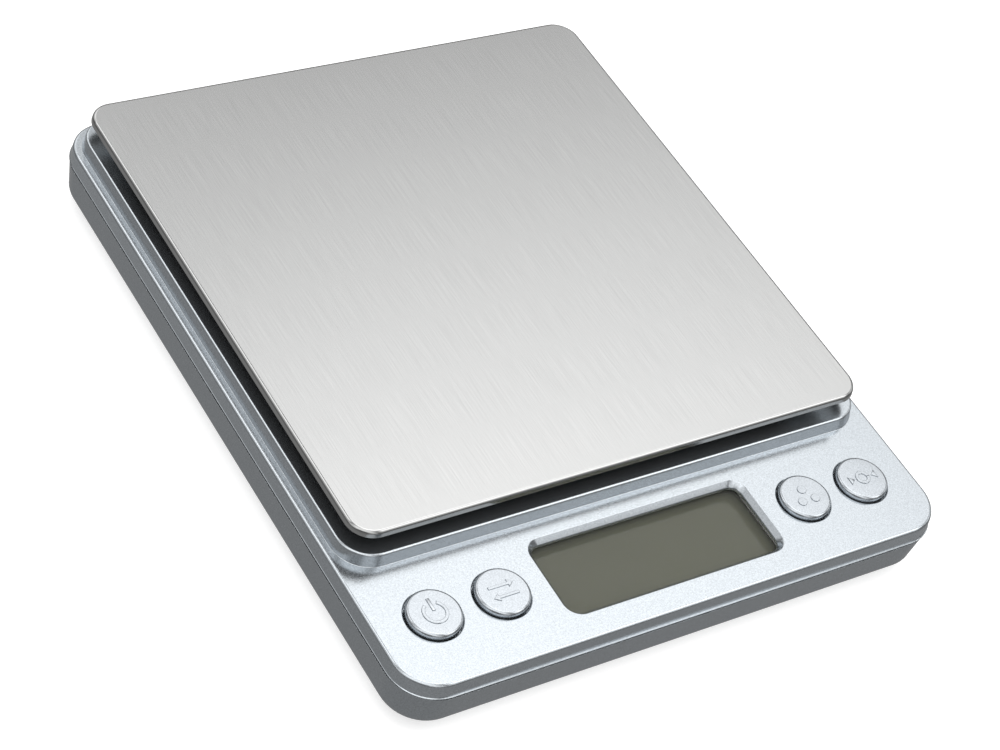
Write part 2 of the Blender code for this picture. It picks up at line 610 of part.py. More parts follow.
def make_load_cell():
    front_y, back_y = PAN_Y - CELL_HALF_Y, PAN_Y + CELL_HALF_Y
    bar = block((-CELL_HALF_X, front_y, CELL_LOW_Z), (CELL_HALF_X, back_y, CELL_TOP_Z))
    cell = add_piece("load_cell", bar, "aluminium")
    spots = [(side * x, PAN_Y) for side in (-1, 1) for x in CELL_SCREW_XS]
    cut(cell, *[disc(spot, CELL_LOW_Z - MM, CELL_TOP_Z + MM, CELL_BORE_RADIUS) for spot in spots])
    middle_z = (CELL_LOW_Z + CELL_TOP_Z) / 2
    on_side = Matrix.Rotation(math.radians(90), 3, "X")
    for side in (-1, 1):
        flexure = disc((0.0, 0.0), -CELL_HALF_Y - MM, CELL_HALF_Y + MM, FLEXURE_RADIUS)
        bmesh.ops.rotate(flexure, verts=flexure.verts, cent=(0, 0, 0), matrix=on_side)
        bmesh.ops.translate(flexure, verts=flexure.verts, vec=(side * FLEXURE_X, PAN_Y, middle_z))
        cut(cell, flexure)
    slit = 0.6 * MM
    cut(cell, block((-5 * MM, front_y - MM, middle_z - slit), (5 * MM, back_y + MM, middle_z + slit)))
    cover_x, cover_y = GAUGE_COVER_HALF
    cover_low = (-cover_x, PAN_Y - cover_y, CELL_TOP_Z + FIT)
    cover_high = (cover_x, PAN_Y + cover_y, CELL_TOP_Z + FIT + GAUGE_COVER_THICK)
    add_piece("gauge_cover", block(cover_low, cover_high, MM), "white_potting")
    for number, x in enumerate(CELL_SCREW_XS, 1):
        head_z = FOOT_HEIGHT + 0.2 * MM
        screw_piece(f"load_cell_screw_{number}", (-x, PAN_Y), head_z, CELL_TOP_Z - MM, CELL_SCREW)
    start_y = cover_low[1] - FIT
    wire_z = BOARD_TOP_Z + 0.6 * MM
    for number, colour in enumerate(("red", "black", "green", "white")):
        x = (-4.2 + 2.4 * number) * MM
        spread = x * 1.25
        knots = [
            Vector((x, start_y, cover_low[2] + 0.5 * MM)),
            Vector((x, start_y - 3 * MM, cover_low[2] + 0.5 * MM)),
            Vector((spread, start_y - 14 * MM, 9.2 * MM)),
            Vector((spread, BOARD_BACK_Y + 8 * MM, 8.0 * MM)),
            Vector((x, BOARD_BACK_Y + MM, wire_z)),
            Vector((x, BOARD_BACK_Y - 1.5 * MM, wire_z)),
        ]
        wire(f"load_cell_wire_{colour}", smooth_route(knots, 3), LEAD_RADIUS, f"{colour}_wire")


def make_pan():
    axis = bpy.data.objects.new("pan_axis", None)
    axis.location = (0.0, PAN_Y, PAN_TOP_Z)
    PARTS.objects.link(axis)
    skirt_z = PAN_TOP_Z - PAN_SKIRT
    low = Vector((-PAN_HALF_X, PAN_FRONT_Y, skirt_z))
    high = Vector((PAN_HALF_X, PAN_BACK_Y, PAN_TOP_Z))
    pan = add_piece("weighing_pan", block(low, high, PAN_CORNER, round_high=PAN_ROUND), "steel")
    sheet = Vector((PAN_SHEET, PAN_SHEET, 0.0))
    under = Vector((0.0, 0.0, MM))
    inner_top = high - sheet - Vector((0.0, 0.0, PAN_SHEET))
    cut(pan, block(low + sheet - under, inner_top, PAN_CORNER - PAN_SHEET, round_high=0.3 * MM, steps=1))

    half = SUPPORT_HALF
    plate = block((-half, PAN_Y - half, SUPPORT_LOW_Z), (half, PAN_Y + half, SUPPORT_TOP_Z), 6 * MM)
    support = add_piece("pan_support", plate, "black_plastic")
    post_low = (POST_X - POST_HALF[0], PAN_Y - POST_HALF[1], CELL_TOP_Z + FIT)
    post_high = (POST_X + POST_HALF[0], PAN_Y + POST_HALF[1], SUPPORT_TOP_Z - 0.5 * MM)
    join(support, block(post_low, post_high, MM))
    windows = []
    for side in (-1, 1):
        for end in (-1, 1):
            xs = sorted(side * x for x in SUPPORT_WINDOW_X)
            ys = sorted(PAN_Y + end * y for y in SUPPORT_WINDOW_Y)
            low_corner = (xs[0], ys[0], SUPPORT_LOW_Z - MM)
            windows.append(block(low_corner, (xs[1], ys[1], SUPPORT_TOP_Z + MM), 4 * MM))
    cut(support, *windows)
    spots = [(x, PAN_Y) for x in CELL_SCREW_XS]
    cut(support, *[disc(spot, CELL_TOP_Z - MM, SUPPORT_TOP_Z + MM, CELL_BORE_RADIUS) for spot in spots])
    head_seat = SUPPORT_TOP_Z - 1.8 * MM
    cut(support, *[disc(spot, head_seat, SUPPORT_TOP_Z + MM, CELL_SINK_RADIUS) for spot in spots])
    moving = [pan, support]
    head_z = head_seat + FIT + CELL_SCREW[2]
    for number, spot in enumerate(spots, 1):
        moving.append(screw_piece(f"pan_screw_{number}", spot, head_z, CELL_LOW_Z + MM, CELL_SCREW))
    pad_low = SUPPORT_TOP_Z + FIT
    pad_high = PAN_TOP_Z - PAN_SHEET - FIT
    for name, (x, y) in corners(*PAD_XY).items():
        pad = disc((x, PAN_Y + y), pad_low, pad_high, PAD_RADIUS)
        moving.append(add_piece(f"pan_pad_{name}", pad, "black_rubber"))
    for piece in moving:
        piece.parent = axis
        piece.matrix_parent_inverse = Matrix.Translation(-axis.location)


def make_feet():
    for name, spot in corners(*FOOT_XY).items():
        top_z = FOOT_HEIGHT + FOOT_SEAT - FIT
        edge = 0.4 * MM
        profile = [(0.0, top_z), (FOOT_RADIUS, top_z)]
        profile += quarter_arc(FOOT_RADIUS - edge, edge, edge, 0, -90)
        profile += [(0.0, 0.0)]
        turned(f"foot_{name}", profile, "black_rubber", (*spot, 0.0), sides=20)
    for name, spot in screw_spots(CASE_SCREW_X, CASE_SCREW_YS).items():
        screw_piece(f"case_screw_{name}", spot, FOOT_HEIGHT + 0.6 * MM, BOSS_SPLIT_Z + 2.4 * MM, CASE_SCREW)
    add_piece("blank_label", label_block(0.0, FOOT_HEIGHT + 0.05 * MM, FOOT_HEIGHT + 0.2 * MM), "label")


def make_batteries():
    """Two cells side by side, pointing opposite ways, with a spring at each flat end."""
    nub_radius, nub_length = BATTERY_NUB
    shoulder = BATTERY_LENGTH / 2 - nub_length
    foot = -BATTERY_LENGTH / 2
    edge = 0.4 * MM
    profile = [(0.0, BATTERY_LENGTH / 2), (nub_radius, BATTERY_LENGTH / 2), (nub_radius, shoulder)]
    profile += quarter_arc(BATTERY_RADIUS - edge, shoulder - edge, edge, 90, 0)
    profile += quarter_arc(BATTERY_RADIUS - edge, foot + edge, edge, 0, -90)
    profile += [(0.0, foot)]
    inner_face = PLATE_OUT_X - PLATE_THICK
    nub_gap = 0.2 * MM
    shift = inner_face - nub_gap - BATTERY_LENGTH / 2
    low_z = BATTERY_Z - 3.9 * MM
    for number, (side, y) in enumerate(zip((1, -1), BATTERY_YS), 1):
        turn = (0.0, math.radians(90 * side), 0.0)
        turned(f"battery_{number}", profile, "battery_wrap", (side * shift, y, BATTERY_Z), turn)
        start_x = inner_face - FIT - SPRING_WIRE_RADIUS
        end_x = BATTERY_LENGTH - inner_face + nub_gap + FIT + SPRING_WIRE_RADIUS
        turns, per_turn = 3, 10
        points = []
        for i in range(turns * per_turn + 1):
            share = i / (turns * per_turn)
            angle = 2 * math.pi * i / per_turn
            radius = SPRING_RADII[0] + (SPRING_RADII[1] - SPRING_RADII[0]) * share
            x = -side * (start_x + (end_x - start_x) * share)
            points.append(Vector((x, y + radius * math.cos(angle), BATTERY_Z + radius * math.sin(angle))))
        wire(f"contact_spring_{number}", points, SPRING_WIRE_RADIUS, "nickel")
    plates = {
        "contact_plate_bridge": (1, BATTERY_YS[0], BATTERY_YS[1], 3.9 * MM),
        "contact_plate_minus": (-1, BATTERY_YS[0], BATTERY_YS[0], 4.4 * MM),
        "contact_plate_plus": (-1, BATTERY_YS[1], BATTERY_YS[1], 4.4 * MM),
    }
    reach = 4.2 * MM
    for name, (side, front_y, back_y, rise) in plates.items():
        xs = sorted((side * inner_face, side * PLATE_OUT_X))
        high = (xs[1], back_y + reach, BATTERY_Z + rise)
        add_piece(name, block((xs[0], front_y - reach, low_z), high), "nickel")


def make_battery_wires():
    lead_z = 12.0 * MM
    board_z = BOARD_TOP_Z + 0.6 * MM
    start_x = -PLATE_OUT_X - FIT
    for name, colour, start_y, run_x, end_x in (
        ("battery_wire_plus", "red_wire", BATTERY_YS[1], -40.0 * MM, -32.0 * MM),
        ("battery_wire_minus", "black_wire", BATTERY_YS[0], -37.0 * MM, -29.0 * MM),
    ):
        knots = [
            Vector((start_x, start_y, lead_z)),
            Vector((start_x - 4 * MM, start_y, lead_z)),
            Vector(((start_x - 4 * MM + run_x) / 2, start_y - 6 * MM, 9.5 * MM)),
            Vector((run_x, 20.0 * MM, 6.4 * MM)),
            Vector((run_x, 0.0, 6.0 * MM)),
            Vector((run_x + 2.5 * MM, -18.0 * MM, 7.0 * MM)),
            Vector((end_x - 0.5 * MM, -27.0 * MM, board_z)),
            Vector((end_x, BOARD_BACK_Y - 1.5 * MM, board_z)),
        ]
        wire(name, smooth_route(knots, 3), BATTERY_LEAD_RADIUS, colour)


def make_battery_door():
    """The door's outer front edge is its hinge line, where its two tabs hook over the case's floor."""
    low = Vector((-BAY_HALF_X + FIT, BAY_FRONT_Y + FIT, FOOT_HEIGHT))
    high = Vector((BAY_HALF_X - FIT, BAY_BACK_Y - FIT, FOOT_HEIGHT + DOOR_THICK))
    hinge = (0.0, low.y, low.z)
    door = add_piece("battery_door", block(low, high), "silver_paint", origin=hinge)
    tabs = [
        block(
            (side * TAB_X - TAB_HALF_X, low.y - 1.5 * MM, low.z + 0.8 * MM),
            (side * TAB_X + TAB_HALF_X, low.y + 1.9 * MM, low.z + 1.6 * MM),
        )
        for side in (-1, 1)
    ]
    latch_low = (-LATCH_HALF_X, high.y - 0.9 * MM, high.z - 0.3 * MM)
    latch_high = (LATCH_HALF_X, high.y - 0.1 * MM, high.z + 1.2 * MM)
    join(door, block(latch_low, latch_high), *tabs)
    slits = [
        block(
            (side * SLIT_X - 0.3 * MM, high.y - SLIT_LENGTH, low.z - MM),
            (side * SLIT_X + 0.3 * MM, high.y + MM, high.z + MM),
        )
        for side in (-1, 1)
    ]
    cut(door, *slits)


def main():
    make_bottom_case()
    make_top_case()
    make_display()
    make_circuit_board()
    make_keys()
    make_load_cell()
    make_pan()
    make_feet()
    make_batteries()
    make_battery_wires()
    make_battery_door()


main()
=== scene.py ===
"""The looks of the digital gram scale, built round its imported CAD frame.

Fine shells, pan, keys, window, feet, screws, batteries, springs and door stand for their plain CAD solids.
The other pieces keep their CAD shape and get materials of their own. Lengths are in metres, +Z is up.
"""

import json
import math

import bmesh
import bpy
from mathutils import Matrix, Vector


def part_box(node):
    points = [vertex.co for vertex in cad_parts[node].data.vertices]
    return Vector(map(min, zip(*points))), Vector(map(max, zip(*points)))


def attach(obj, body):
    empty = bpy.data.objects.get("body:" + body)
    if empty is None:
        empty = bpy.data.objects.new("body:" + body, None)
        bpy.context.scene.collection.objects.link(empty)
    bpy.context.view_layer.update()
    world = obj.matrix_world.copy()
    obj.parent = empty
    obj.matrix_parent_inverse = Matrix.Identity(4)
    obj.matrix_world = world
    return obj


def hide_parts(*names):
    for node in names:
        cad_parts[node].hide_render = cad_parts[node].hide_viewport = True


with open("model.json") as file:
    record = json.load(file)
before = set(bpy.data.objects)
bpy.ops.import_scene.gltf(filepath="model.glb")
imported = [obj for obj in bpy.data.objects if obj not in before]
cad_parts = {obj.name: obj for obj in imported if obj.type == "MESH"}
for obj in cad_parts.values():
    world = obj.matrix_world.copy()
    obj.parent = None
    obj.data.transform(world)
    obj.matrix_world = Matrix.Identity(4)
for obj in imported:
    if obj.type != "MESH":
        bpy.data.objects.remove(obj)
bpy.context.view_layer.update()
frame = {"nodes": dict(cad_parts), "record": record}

MM = 0.001

# ---------------------------------------------------------------- places read from the frame

TOP_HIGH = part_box("top_case")[1]
PAN_LOW, PAN_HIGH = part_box("weighing_pan")
LENS_LOW, LENS_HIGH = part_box("lcd_window")
DOOR_LOW, DOOR_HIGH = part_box("battery_door")
LABEL_LOW, LABEL_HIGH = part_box("blank_label")
KEYS = ("power", "mode", "count", "tare")
ENDS = ("front_left", "front_right", "rear_left", "rear_right")

# The case's own sizes. FIT is the gap between pieces, and the parting is the groove between the case halves.
HALF_X = TOP_HIGH.x
HALF_Y = TOP_HIGH.y
WALL = 1.8 * MM
CEILING = 1.4 * MM
FIT = 0.3 * MM
BASE_Z = DOOR_LOW.z
PARTING_LOW_Z = 9.62 * MM
PARTING_HIGH_Z = 9.95 * MM
DECK_Z = LENS_HIGH.z + FIT + CEILING
PLINTH_Z = TOP_HIGH.z

# How finely a rounded rectangle is drawn: each corner, and its front side where that is bowed.
CORNER_STEPS = 14
FRONT_SPANS = 16


def middle(low, high):
    return (low + high) / 2


def plan_of(low, high, corner):
    """The plan of a box from its two corners: x low, x high, y low, y high and the corner radius."""
    return (low.x, high.x, low.y, high.y, corner)


def plan_about(x, y, half_x, half_y, corner):
    """The plan of a rounded rectangle about a centre."""
    return (x - half_x, x + half_x, y - half_y, y + half_y, corner)


def plan_within(plan, inset, corner):
    """A plan with its sides moved inwards and a corner radius of its own."""
    x_low, x_high, y_low, y_high = plan[:4]
    return (x_low + inset, x_high - inset, y_low + inset, y_high - inset, corner)


# ---------------------------------------------------------------- mesh tools

def arc(centre_u, centre_v, radius, start, end, steps=6):
    """Points on an arc in a profile plane, with angles in degrees."""
    angles = [math.radians(start + (end - start) * i / steps) for i in range(steps + 1)]
    return [(centre_u + radius * math.cos(a), centre_v + radius * math.sin(a)) for a in angles]


def circle(centre, radius, z, sides):
    """Points on a level circle, anticlockwise from above."""
    angles = [2 * math.pi * i / sides for i in range(sides)]
    return [(centre[0] + radius * math.cos(a), centre[1] + radius * math.sin(a), z) for a in angles]


def ring(plan, inset_x, inset_y, z, bow=None):
    """Points on a level rounded rectangle, which is a plan drawn in by the insets.

    A bow, which may be zero, draws the middle of the front side in by that much more. All the rings of a loft
    have a bow or none has, because it gives the front side more points.
    """
    x_low, x_high, y_low, y_high, corner = plan
    x_low, x_high = x_low + inset_x, x_high - inset_x
    y_low, y_high = y_low + inset_y, y_high - inset_y
    radius = max(corner - (inset_x + inset_y) / 2, 0.05 * MM)
    centres = ((x_high - radius, y_high - radius), (x_low + radius, y_high - radius),
               (x_low + radius, y_low + radius), (x_high - radius, y_low + radius))
    points = []
    for quarter, (x, y) in enumerate(centres):
        for i in range(CORNER_STEPS + 1):
            angle = math.radians(90 * (quarter + i / CORNER_STEPS))
            points.append(Vector((x + radius * math.cos(angle), y + radius * math.sin(angle), z)))
    if bow is not None:
        right_start = 3 * (CORNER_STEPS + 1)
        left, right = points[right_start - 1], points[right_start]
        points[right_start:right_start] = [left.lerp(right, i / FRONT_SPANS) for i in range(1, FRONT_SPANS)]
        for point in points:
            share = 1 - ((2 * point.x - x_low - x_high) / (x_high - x_low)) ** 2
            if point.y < y_low + radius:
                point.y += bow * max(share, 0.0)
    return points


def side_faces(shape, lower, upper):
    """Faces between two closed rows of as many vertices."""
    for i in range(len(lower)):
        j = (i + 1) % len(lower)
        shape.faces.new((lower[i], lower[j], upper[j], upper[i]))


def loft(rings):
    """A closed solid through rings of as many points, listed from bottom to top."""
    shape = bmesh.new()
    levels = [[shape.verts.new(point) for point in points] for points in rings]
    for lower, upper in zip(levels, levels[1:]):
        side_faces(shape, lower, upper)
    shape.faces.new(reversed(levels[0]))
    shape.faces.new(levels[-1])
    return shape


def lofted(plan, profile, bows=None):
    """A loft over a plan. Each profile point is (inset, z) or (inset x, inset y, z)."""
    rings = []
    for i, point in enumerate(profile):
        inset_x, inset_y, z = point if len(point) == 3 else (point[0], point[0], point[1])
        rings.append(ring(plan, inset_x, inset_y, z, bows[i] if bows else None))
    return loft(rings)


def turned(profile, centre, sides=64):
    """A closed turned solid. profile is (radius, z) from the bottom to the top; its end radii may be zero."""
    shape = bmesh.new()
    levels = []
    for radius, z in profile:
        points = circle(centre, radius, z, sides) if radius else [(centre[0], centre[1], z)]
        levels.append([shape.verts.new(point) for point in points])
    for lower, upper in zip(levels, levels[1:]):
        if len(lower) == len(upper):
            side_faces(shape, lower, upper)
            continue
        for i in range(sides):
            j = (i + 1) % sides
            corners = (lower[0], upper[j], upper[i]) if len(lower) == 1 else (lower[i], lower[j], upper[0])
            shape.faces.new(corners)
    if len(levels[0]) > 1:
        shape.faces.new(reversed(levels[0]))
    if len(levels[-1]) > 1:
        shape.faces.new(levels[-1])
    return shape


def cylinder(centre, low_z, high_z, radius, sides=32):
    return turned([(radius, low_z), (radius, high_z)], centre, sides)


def prism(outline, low_z, high_z):
    """A closed upright solid over an anticlockwise outline."""
    return loft([[(x, y, z) for x, y in outline] for z in (low_z, high_z)])


def box_shape(low, high):
    shape = bmesh.new()
    bmesh.ops.create_cube(shape, size=1.0)
    centre, size = middle(Vector(low), Vector(high)), Vector(high) - Vector(low)
    bmesh.ops.scale(shape, verts=shape.verts, vec=size)
    bmesh.ops.translate(shape, verts=shape.verts, vec=centre)
    return shape


def gather(shapes):
    """One shape that holds several separate ones, which are used up."""
    whole = bmesh.new()
    for shape in shapes:
        carrier = bpy.data.meshes.new("carrier")
        shape.to_mesh(carrier)
        shape.free()
        whole.from_mesh(carrier)
        bpy.data.meshes.remove(carrier)
    return whole


def new_object(name, shape):
    mesh = bpy.data.meshes.new(name)
    shape.to_mesh(mesh)
    shape.free()
    made = bpy.data.objects.new(name, mesh)
    bpy.context.scene.collection.objects.link(made)
    return made


def apply_modifiers(piece):
    """Replaces the piece's mesh with its evaluated one."""
    bpy.context.view_layer.update()
    graph = bpy.context.evaluated_depsgraph_get()
    mesh = bpy.data.meshes.new_from_object(piece.evaluated_get(graph))
    piece.modifiers.clear()
    piece.data = mesh


def combine(piece, operation, *shapes):
    """One exact Boolean of the piece with several separate shapes, applied at once."""
    tool = new_object("tool", gather(shapes))
    boolean = piece.modifiers.new("boolean", "BOOLEAN")
    boolean.operation = operation
    boolean.object = tool
    boolean.solver = "EXACT"
    apply_modifiers(piece)
    bpy.data.objects.remove(tool, do_unlink=True)


def join(piece, *shapes):
    combine(piece, "UNION", *shapes)


def cut(piece, *shapes):
    combine(piece, "DIFFERENCE", *shapes)


def finish_surface(piece, sharp_degrees=32):
    """Smooth shading that keeps flats flat and fillets round."""
    piece.data.shade_smooth()
    piece.data.set_sharp_from_angle(angle=math.radians(sharp_degrees))
    weighted = piece.modifiers.new("weighted_normals", "WEIGHTED_NORMAL")
    weighted.weight = 90
    weighted.keep_sharp = True


def dress(piece, material, body, slot, *nodes):
    """Gives a piece its material, the body it rides on, and the CAD nodes it stands for, which it hides. The
    slot is not used.
    """
    piece.data.materials.clear()
    piece.data.materials.append(material)
    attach(piece, body)
    if nodes:
        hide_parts(*nodes)


# ---------------------------------------------------------------- materials

class Look:
    """A small builder of one Principled material in object coordinates."""

    def __init__(self, name, colour, metallic, roughness):
        self.material = bpy.data.materials.new(name)
        self.material.use_nodes = True
        self.tree = self.material.node_tree
        self.shader = self.tree.nodes["Principled BSDF"]
        self.colour = colour
        self.shader.inputs["Base Color"].default_value = (*colour, 1.0)
        self.shader.inputs["Metallic"].default_value = metallic
        self.shader.inputs["Roughness"].default_value = roughness
        self.place = self.node("ShaderNodeTexCoord").outputs["Object"]

    def node(self, kind, **settings):
        made = self.tree.nodes.new(kind)
        for key, value in settings.items():
            setattr(made, key, value)
        return made

    def link(self, start, end):
        self.tree.links.new(start, end)

    def noise(self, scale, stretch=(1.0, 1.0, 1.0), detail=3.0, rough=0.5):
        """Noise with features 1/scale metres long, and longer along an axis with a stretch under 1."""
        mapping = self.node("ShaderNodeMapping")
        mapping.inputs["Scale"].default_value = [scale * s for s in stretch]
        self.link(self.place, mapping.inputs["Vector"])
        texture = self.node("ShaderNodeTexNoise")
        texture.inputs["Scale"].default_value = 1.0
        texture.inputs["Detail"].default_value = detail
        texture.inputs["Roughness"].default_value = rough
        self.link(mapping.outputs["Vector"], texture.inputs["Vector"])
        return texture.outputs["Fac"]

    def spread(self, source, low, high, start=0.3, end=0.7):
        """Maps a source from start..end to low..high."""
        mapped = self.node("ShaderNodeMapRange")
        for key, value in (("From Min", start), ("From Max", end), ("To Min", low), ("To Max", high)):
            mapped.inputs[key].default_value = value
        self.link(source, mapped.inputs["Value"])
        return mapped.outputs["Result"]

    def tint(self, source, dark, light):
        """Colours the base between a darker and a lighter version of itself."""
        mix = self.node("ShaderNodeMix", data_type="RGBA")
        mix.inputs["A"].default_value = (*[c * dark for c in self.colour], 1.0)
        mix.inputs["B"].default_value = (*[min(c * light, 1.0) for c in self.colour], 1.0)
        self.link(source, mix.inputs["Factor"])
        self.link(mix.outputs["Result"], self.shader.inputs["Base Color"])

    def gloss(self, source, low, high, **limits):
        """Varies the roughness from low to high."""
        self.link(self.spread(source, low, high, **limits), self.shader.inputs["Roughness"])

    def relief(self, source, strength, distance):
        """Bumps the surface by a source."""
        bump = self.node("ShaderNodeBump")
        bump.inputs["Strength"].default_value = strength
        bump.inputs["Distance"].default_value = distance
        self.link(source, bump.inputs["Height"])
        self.link(bump.outputs["Normal"], self.shader.inputs["Normal"])

    def set(self, **values):
        """Sets plain inputs of the shader, whose names have underscores for spaces here."""
        for key, value in values.items():
            self.shader.inputs[key.replace("_", " ")].default_value = value


def silver_paint(name, colour, roughness):
    """Fine metallic paint: tiny flakes that vary in brightness and tilt, under a satin surface."""
    look = Look(name, colour, 0.95, roughness)
    flakes = look.noise(4200, detail=2.0, rough=0.7)
    look.tint(look.spread(flakes, 0.0, 1.0), 0.84, 1.13)
    look.gloss(flakes, roughness - 0.02, roughness + 0.02)
    look.relief(flakes, 0.065, 0.012 * MM)
    return look.material


def brushed_steel(name):
    """Stainless sheet: hairlines from front to back spread its gloss sideways, and its rim's colour is
    darkened as painted shade over its highlight.
    """
    look = Look(name, (0.590, 0.592, 0.588), 1.0, 0.26)
    fine = look.noise(7000, (1.0, 0.012, 1.0), rough=0.75)
    flat = look.node("ShaderNodeSeparateXYZ")
    look.link(look.node("ShaderNodeTexCoord").outputs["Normal"], flat.inputs["Vector"])
    # Painted shade: the base colour drops to 0.72 where the surface turns from level at the rim, to dim its
    # highlight.
    hairline_and_rim_shade = look.node("ShaderNodeMath", operation="MULTIPLY")
    look.link(look.spread(fine, 0.57, 1.0), hairline_and_rim_shade.inputs[0])
    look.link(look.spread(flat.outputs["Z"], 0.0, 1.0, 0.90, 0.999), hairline_and_rim_shade.inputs[1])
    look.tint(hairline_and_rim_shade.outputs["Value"], 0.72, 1.05)
    look.gloss(flat.outputs["Z"], 0.15, 0.27, start=0.985, end=1.0)
    across = look.node("ShaderNodeCombineXYZ")
    across.inputs["X"].default_value = 1.0
    look.link(across.outputs["Vector"], look.shader.inputs["Tangent"])
    look.set(Anisotropic=0.6)
    look.relief(fine, 0.06, 0.006 * MM)
    return look.material


def moulded(name, colour, roughness, grain=3500, strength=0.15, metallic=0.0):
    """Moulded plastic or rubber with a fine erosion texture."""
    look = Look(name, colour, metallic, roughness)
    grains = look.noise(grain, detail=2.0)
    look.tint(look.spread(grains, 0.0, 1.0), 0.86, 1.10)
    look.gloss(look.noise(400), roughness - 0.05, roughness + 0.06)
    look.relief(grains, strength, 0.04 * MM)
    return look.material


def turned_metal(name, colour, roughness):
    """Plated or machined metal with faint tool marks."""
    look = Look(name, colour, 1.0, roughness)
    marks = look.noise(4000, (1.0, 1.0, 0.15))
    look.tint(look.spread(marks, 0.0, 1.0), 0.88, 1.06)
    look.gloss(marks, roughness - 0.06, roughness + 0.08)
    look.relief(marks, 0.12, 0.01 * MM)
    return look.material


def display_glass(name):
    """The blank liquid-crystal glass: olive grey, with the faintest cloudiness."""
    look = Look(name, (0.034, 0.036, 0.0145), 0.0, 0.14)
    look.tint(look.spread(look.noise(60, detail=2.0), 0.0, 1.0), 0.96, 1.04)
    look.gloss(look.noise(900), 0.12, 0.16)
    look.set(Specular_IOR_Level=0.25)
    return look.material


def clear_window(name):
    """The clear acrylic over the display, nearly all transparent, with the faintest haze."""
    look = Look(name, (0.70, 0.71, 0.68), 0.0, 0.24)
    look.gloss(look.noise(300), 0.22, 0.26)
    look.tint(look.spread(look.noise(200), 0.0, 1.0), 0.97, 1.0)
    look.set(Alpha=0.04, Specular_IOR_Level=0.1)
    return look.material


def circuit_green(name):
    """Solder mask over faint copper runs."""
    look = Look(name, (0.02, 0.16, 0.07), 0.0, 0.40)
    runs = look.node("ShaderNodeTexBrick")
    runs.inputs["Scale"].default_value = 420.0
    runs.inputs["Mortar Size"].default_value = 0.12
    runs.inputs["Color1"].default_value = (0.02, 0.15, 0.065, 1.0)
    runs.inputs["Color2"].default_value = (0.02, 0.17, 0.075, 1.0)
    runs.inputs["Mortar"].default_value = (0.05, 0.26, 0.11, 1.0)
    look.link(look.place, runs.inputs["Vector"])
    look.link(runs.outputs["Color"], look.shader.inputs["Base Color"])
    look.gloss(look.noise(700), 0.34, 0.46)
    look.relief(runs.outputs["Fac"], 0.2, 0.03 * MM)
    return look.material


def battery_wrap(name):
    """The plain dark film round a cell."""
    look = Look(name, (0.03, 0.035, 0.045), 0.2, 0.32)
    look.gloss(look.noise(500), 0.27, 0.37)
    look.tint(look.spread(look.noise(1200), 0.0, 1.0), 0.85, 1.15)
    return look.material


CASE_PAINT = silver_paint("case_silver", (0.525, 0.560, 0.590), 0.21)
KEY_PAINT = silver_paint("key_silver", (0.495, 0.525, 0.555), 0.21)
STEEL = brushed_steel("pan_steel")
GLASS = display_glass("lcd_glass")
WINDOW = clear_window("lcd_lens")
RUBBER = moulded("rubber_black", (0.022, 0.022, 0.023), 0.75, 2200, 0.30)
BLACK = moulded("plastic_black", (0.020, 0.020, 0.021), 0.50)
WHITE = moulded("plastic_white", (0.78, 0.78, 0.76), 0.45)
POTTING = moulded("silicone_white", (0.82, 0.82, 0.78), 0.60, 900, 0.30)
BOARD = circuit_green("board_green")
ALUMINIUM = turned_metal("cell_aluminium", (0.78, 0.79, 0.80), 0.36)
ZINC = turned_metal("screw_zinc", (0.56, 0.57, 0.60), 0.30)
NICKEL = turned_metal("contact_nickel", (0.66, 0.63, 0.57), 0.26)
WRAP = battery_wrap("cell_wrap")
COPPER = turned_metal("cell_copper", (0.62, 0.33, 0.15), 0.30)
LABEL = moulded("label_foil", (0.62, 0.63, 0.64), 0.42, 1800, 0.05, 0.3)
WIRES = {
    "red_wire": moulded("wire_red", (0.50, 0.02, 0.02), 0.42),
    "black_wire": moulded("wire_black", (0.02, 0.02, 0.02), 0.42),
    "green_wire": moulded("wire_green", (0.02, 0.27, 0.07), 0.42),
    "white_wire": moulded("wire_white", (0.78, 0.78, 0.78), 0.42),
}
BY_SLOT = {
    "silver_paint": CASE_PAINT,
    "key_paint": KEY_PAINT,
    "steel": STEEL,
    "screw_steel": ZINC,
    "clear_lens": WINDOW,
    "display_glass": GLASS,
    "white_plastic": WHITE,
    "black_plastic": BLACK,
    "black_rubber": RUBBER,
    "green_board": BOARD,
    "aluminium": ALUMINIUM,
    "white_potting": POTTING,
    "battery_wrap": WRAP,
    "nickel": NICKEL,
    "label": LABEL,
    **WIRES,
}


def dress_cad_nodes():
    """Every CAD node gets the material of its slot."""
    for part in frame["record"]["subparts"]:
        mesh = frame["nodes"][part["node"]].data
        mesh.materials.clear()
        mesh.materials.append(BY_SLOT[part["material_slot"]])


# ---------------------------------------------------------------- the upper case

CASE_PLAN = (-HALF_X, HALF_X, -HALF_Y, HALF_Y, 7.6 * MM)
DECK_FILLET = 0.48 * MM
PLINTH_PLAN = (-51.3 * MM, 51.3 * MM, -39.7 * MM, 61.9 * MM, 6.2 * MM)
PLINTH_LEAN = 0.40 * MM
PLINTH_FILLET = 0.42 * MM
PLINTH_COVE = 0.10 * MM
PLINTH_WALL = 1.6 * MM
PLINTH_CEILING = 1.1 * MM
PLINTH_INNER_CORNER = 4.4 * MM
# Insets of the wall in x and in y: at the deck, towards which it leans in, and at the ledge over the parting.
# The bow draws the middle of the front ledge in by a little more.
DECK_LEAN = (0.34 * MM, 0.58 * MM)
LEDGE = (0.07 * MM, 0.20 * MM)
LEDGE_BOW = 0.14 * MM
# For each kind of screw: the radius of its boss, of its bore, and the height of the boss's lower end.
BOSSES = {
    "case_screw": (2.7 * MM, 1.4 * MM, 8.0 * MM),
    "board_screw": (2.1 * MM, 1.15 * MM, 7.3 * MM),
}
BORE_DEPTH = 2.7 * MM


def corner_spots(prefix):
    """Centres of the four screws or feet of one kind, from their CAD boxes."""
    return [middle(*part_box(f"{prefix}_{end}")) for end in ENDS]


def key_centre(name):
    return middle(*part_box(f"button_{name}"))


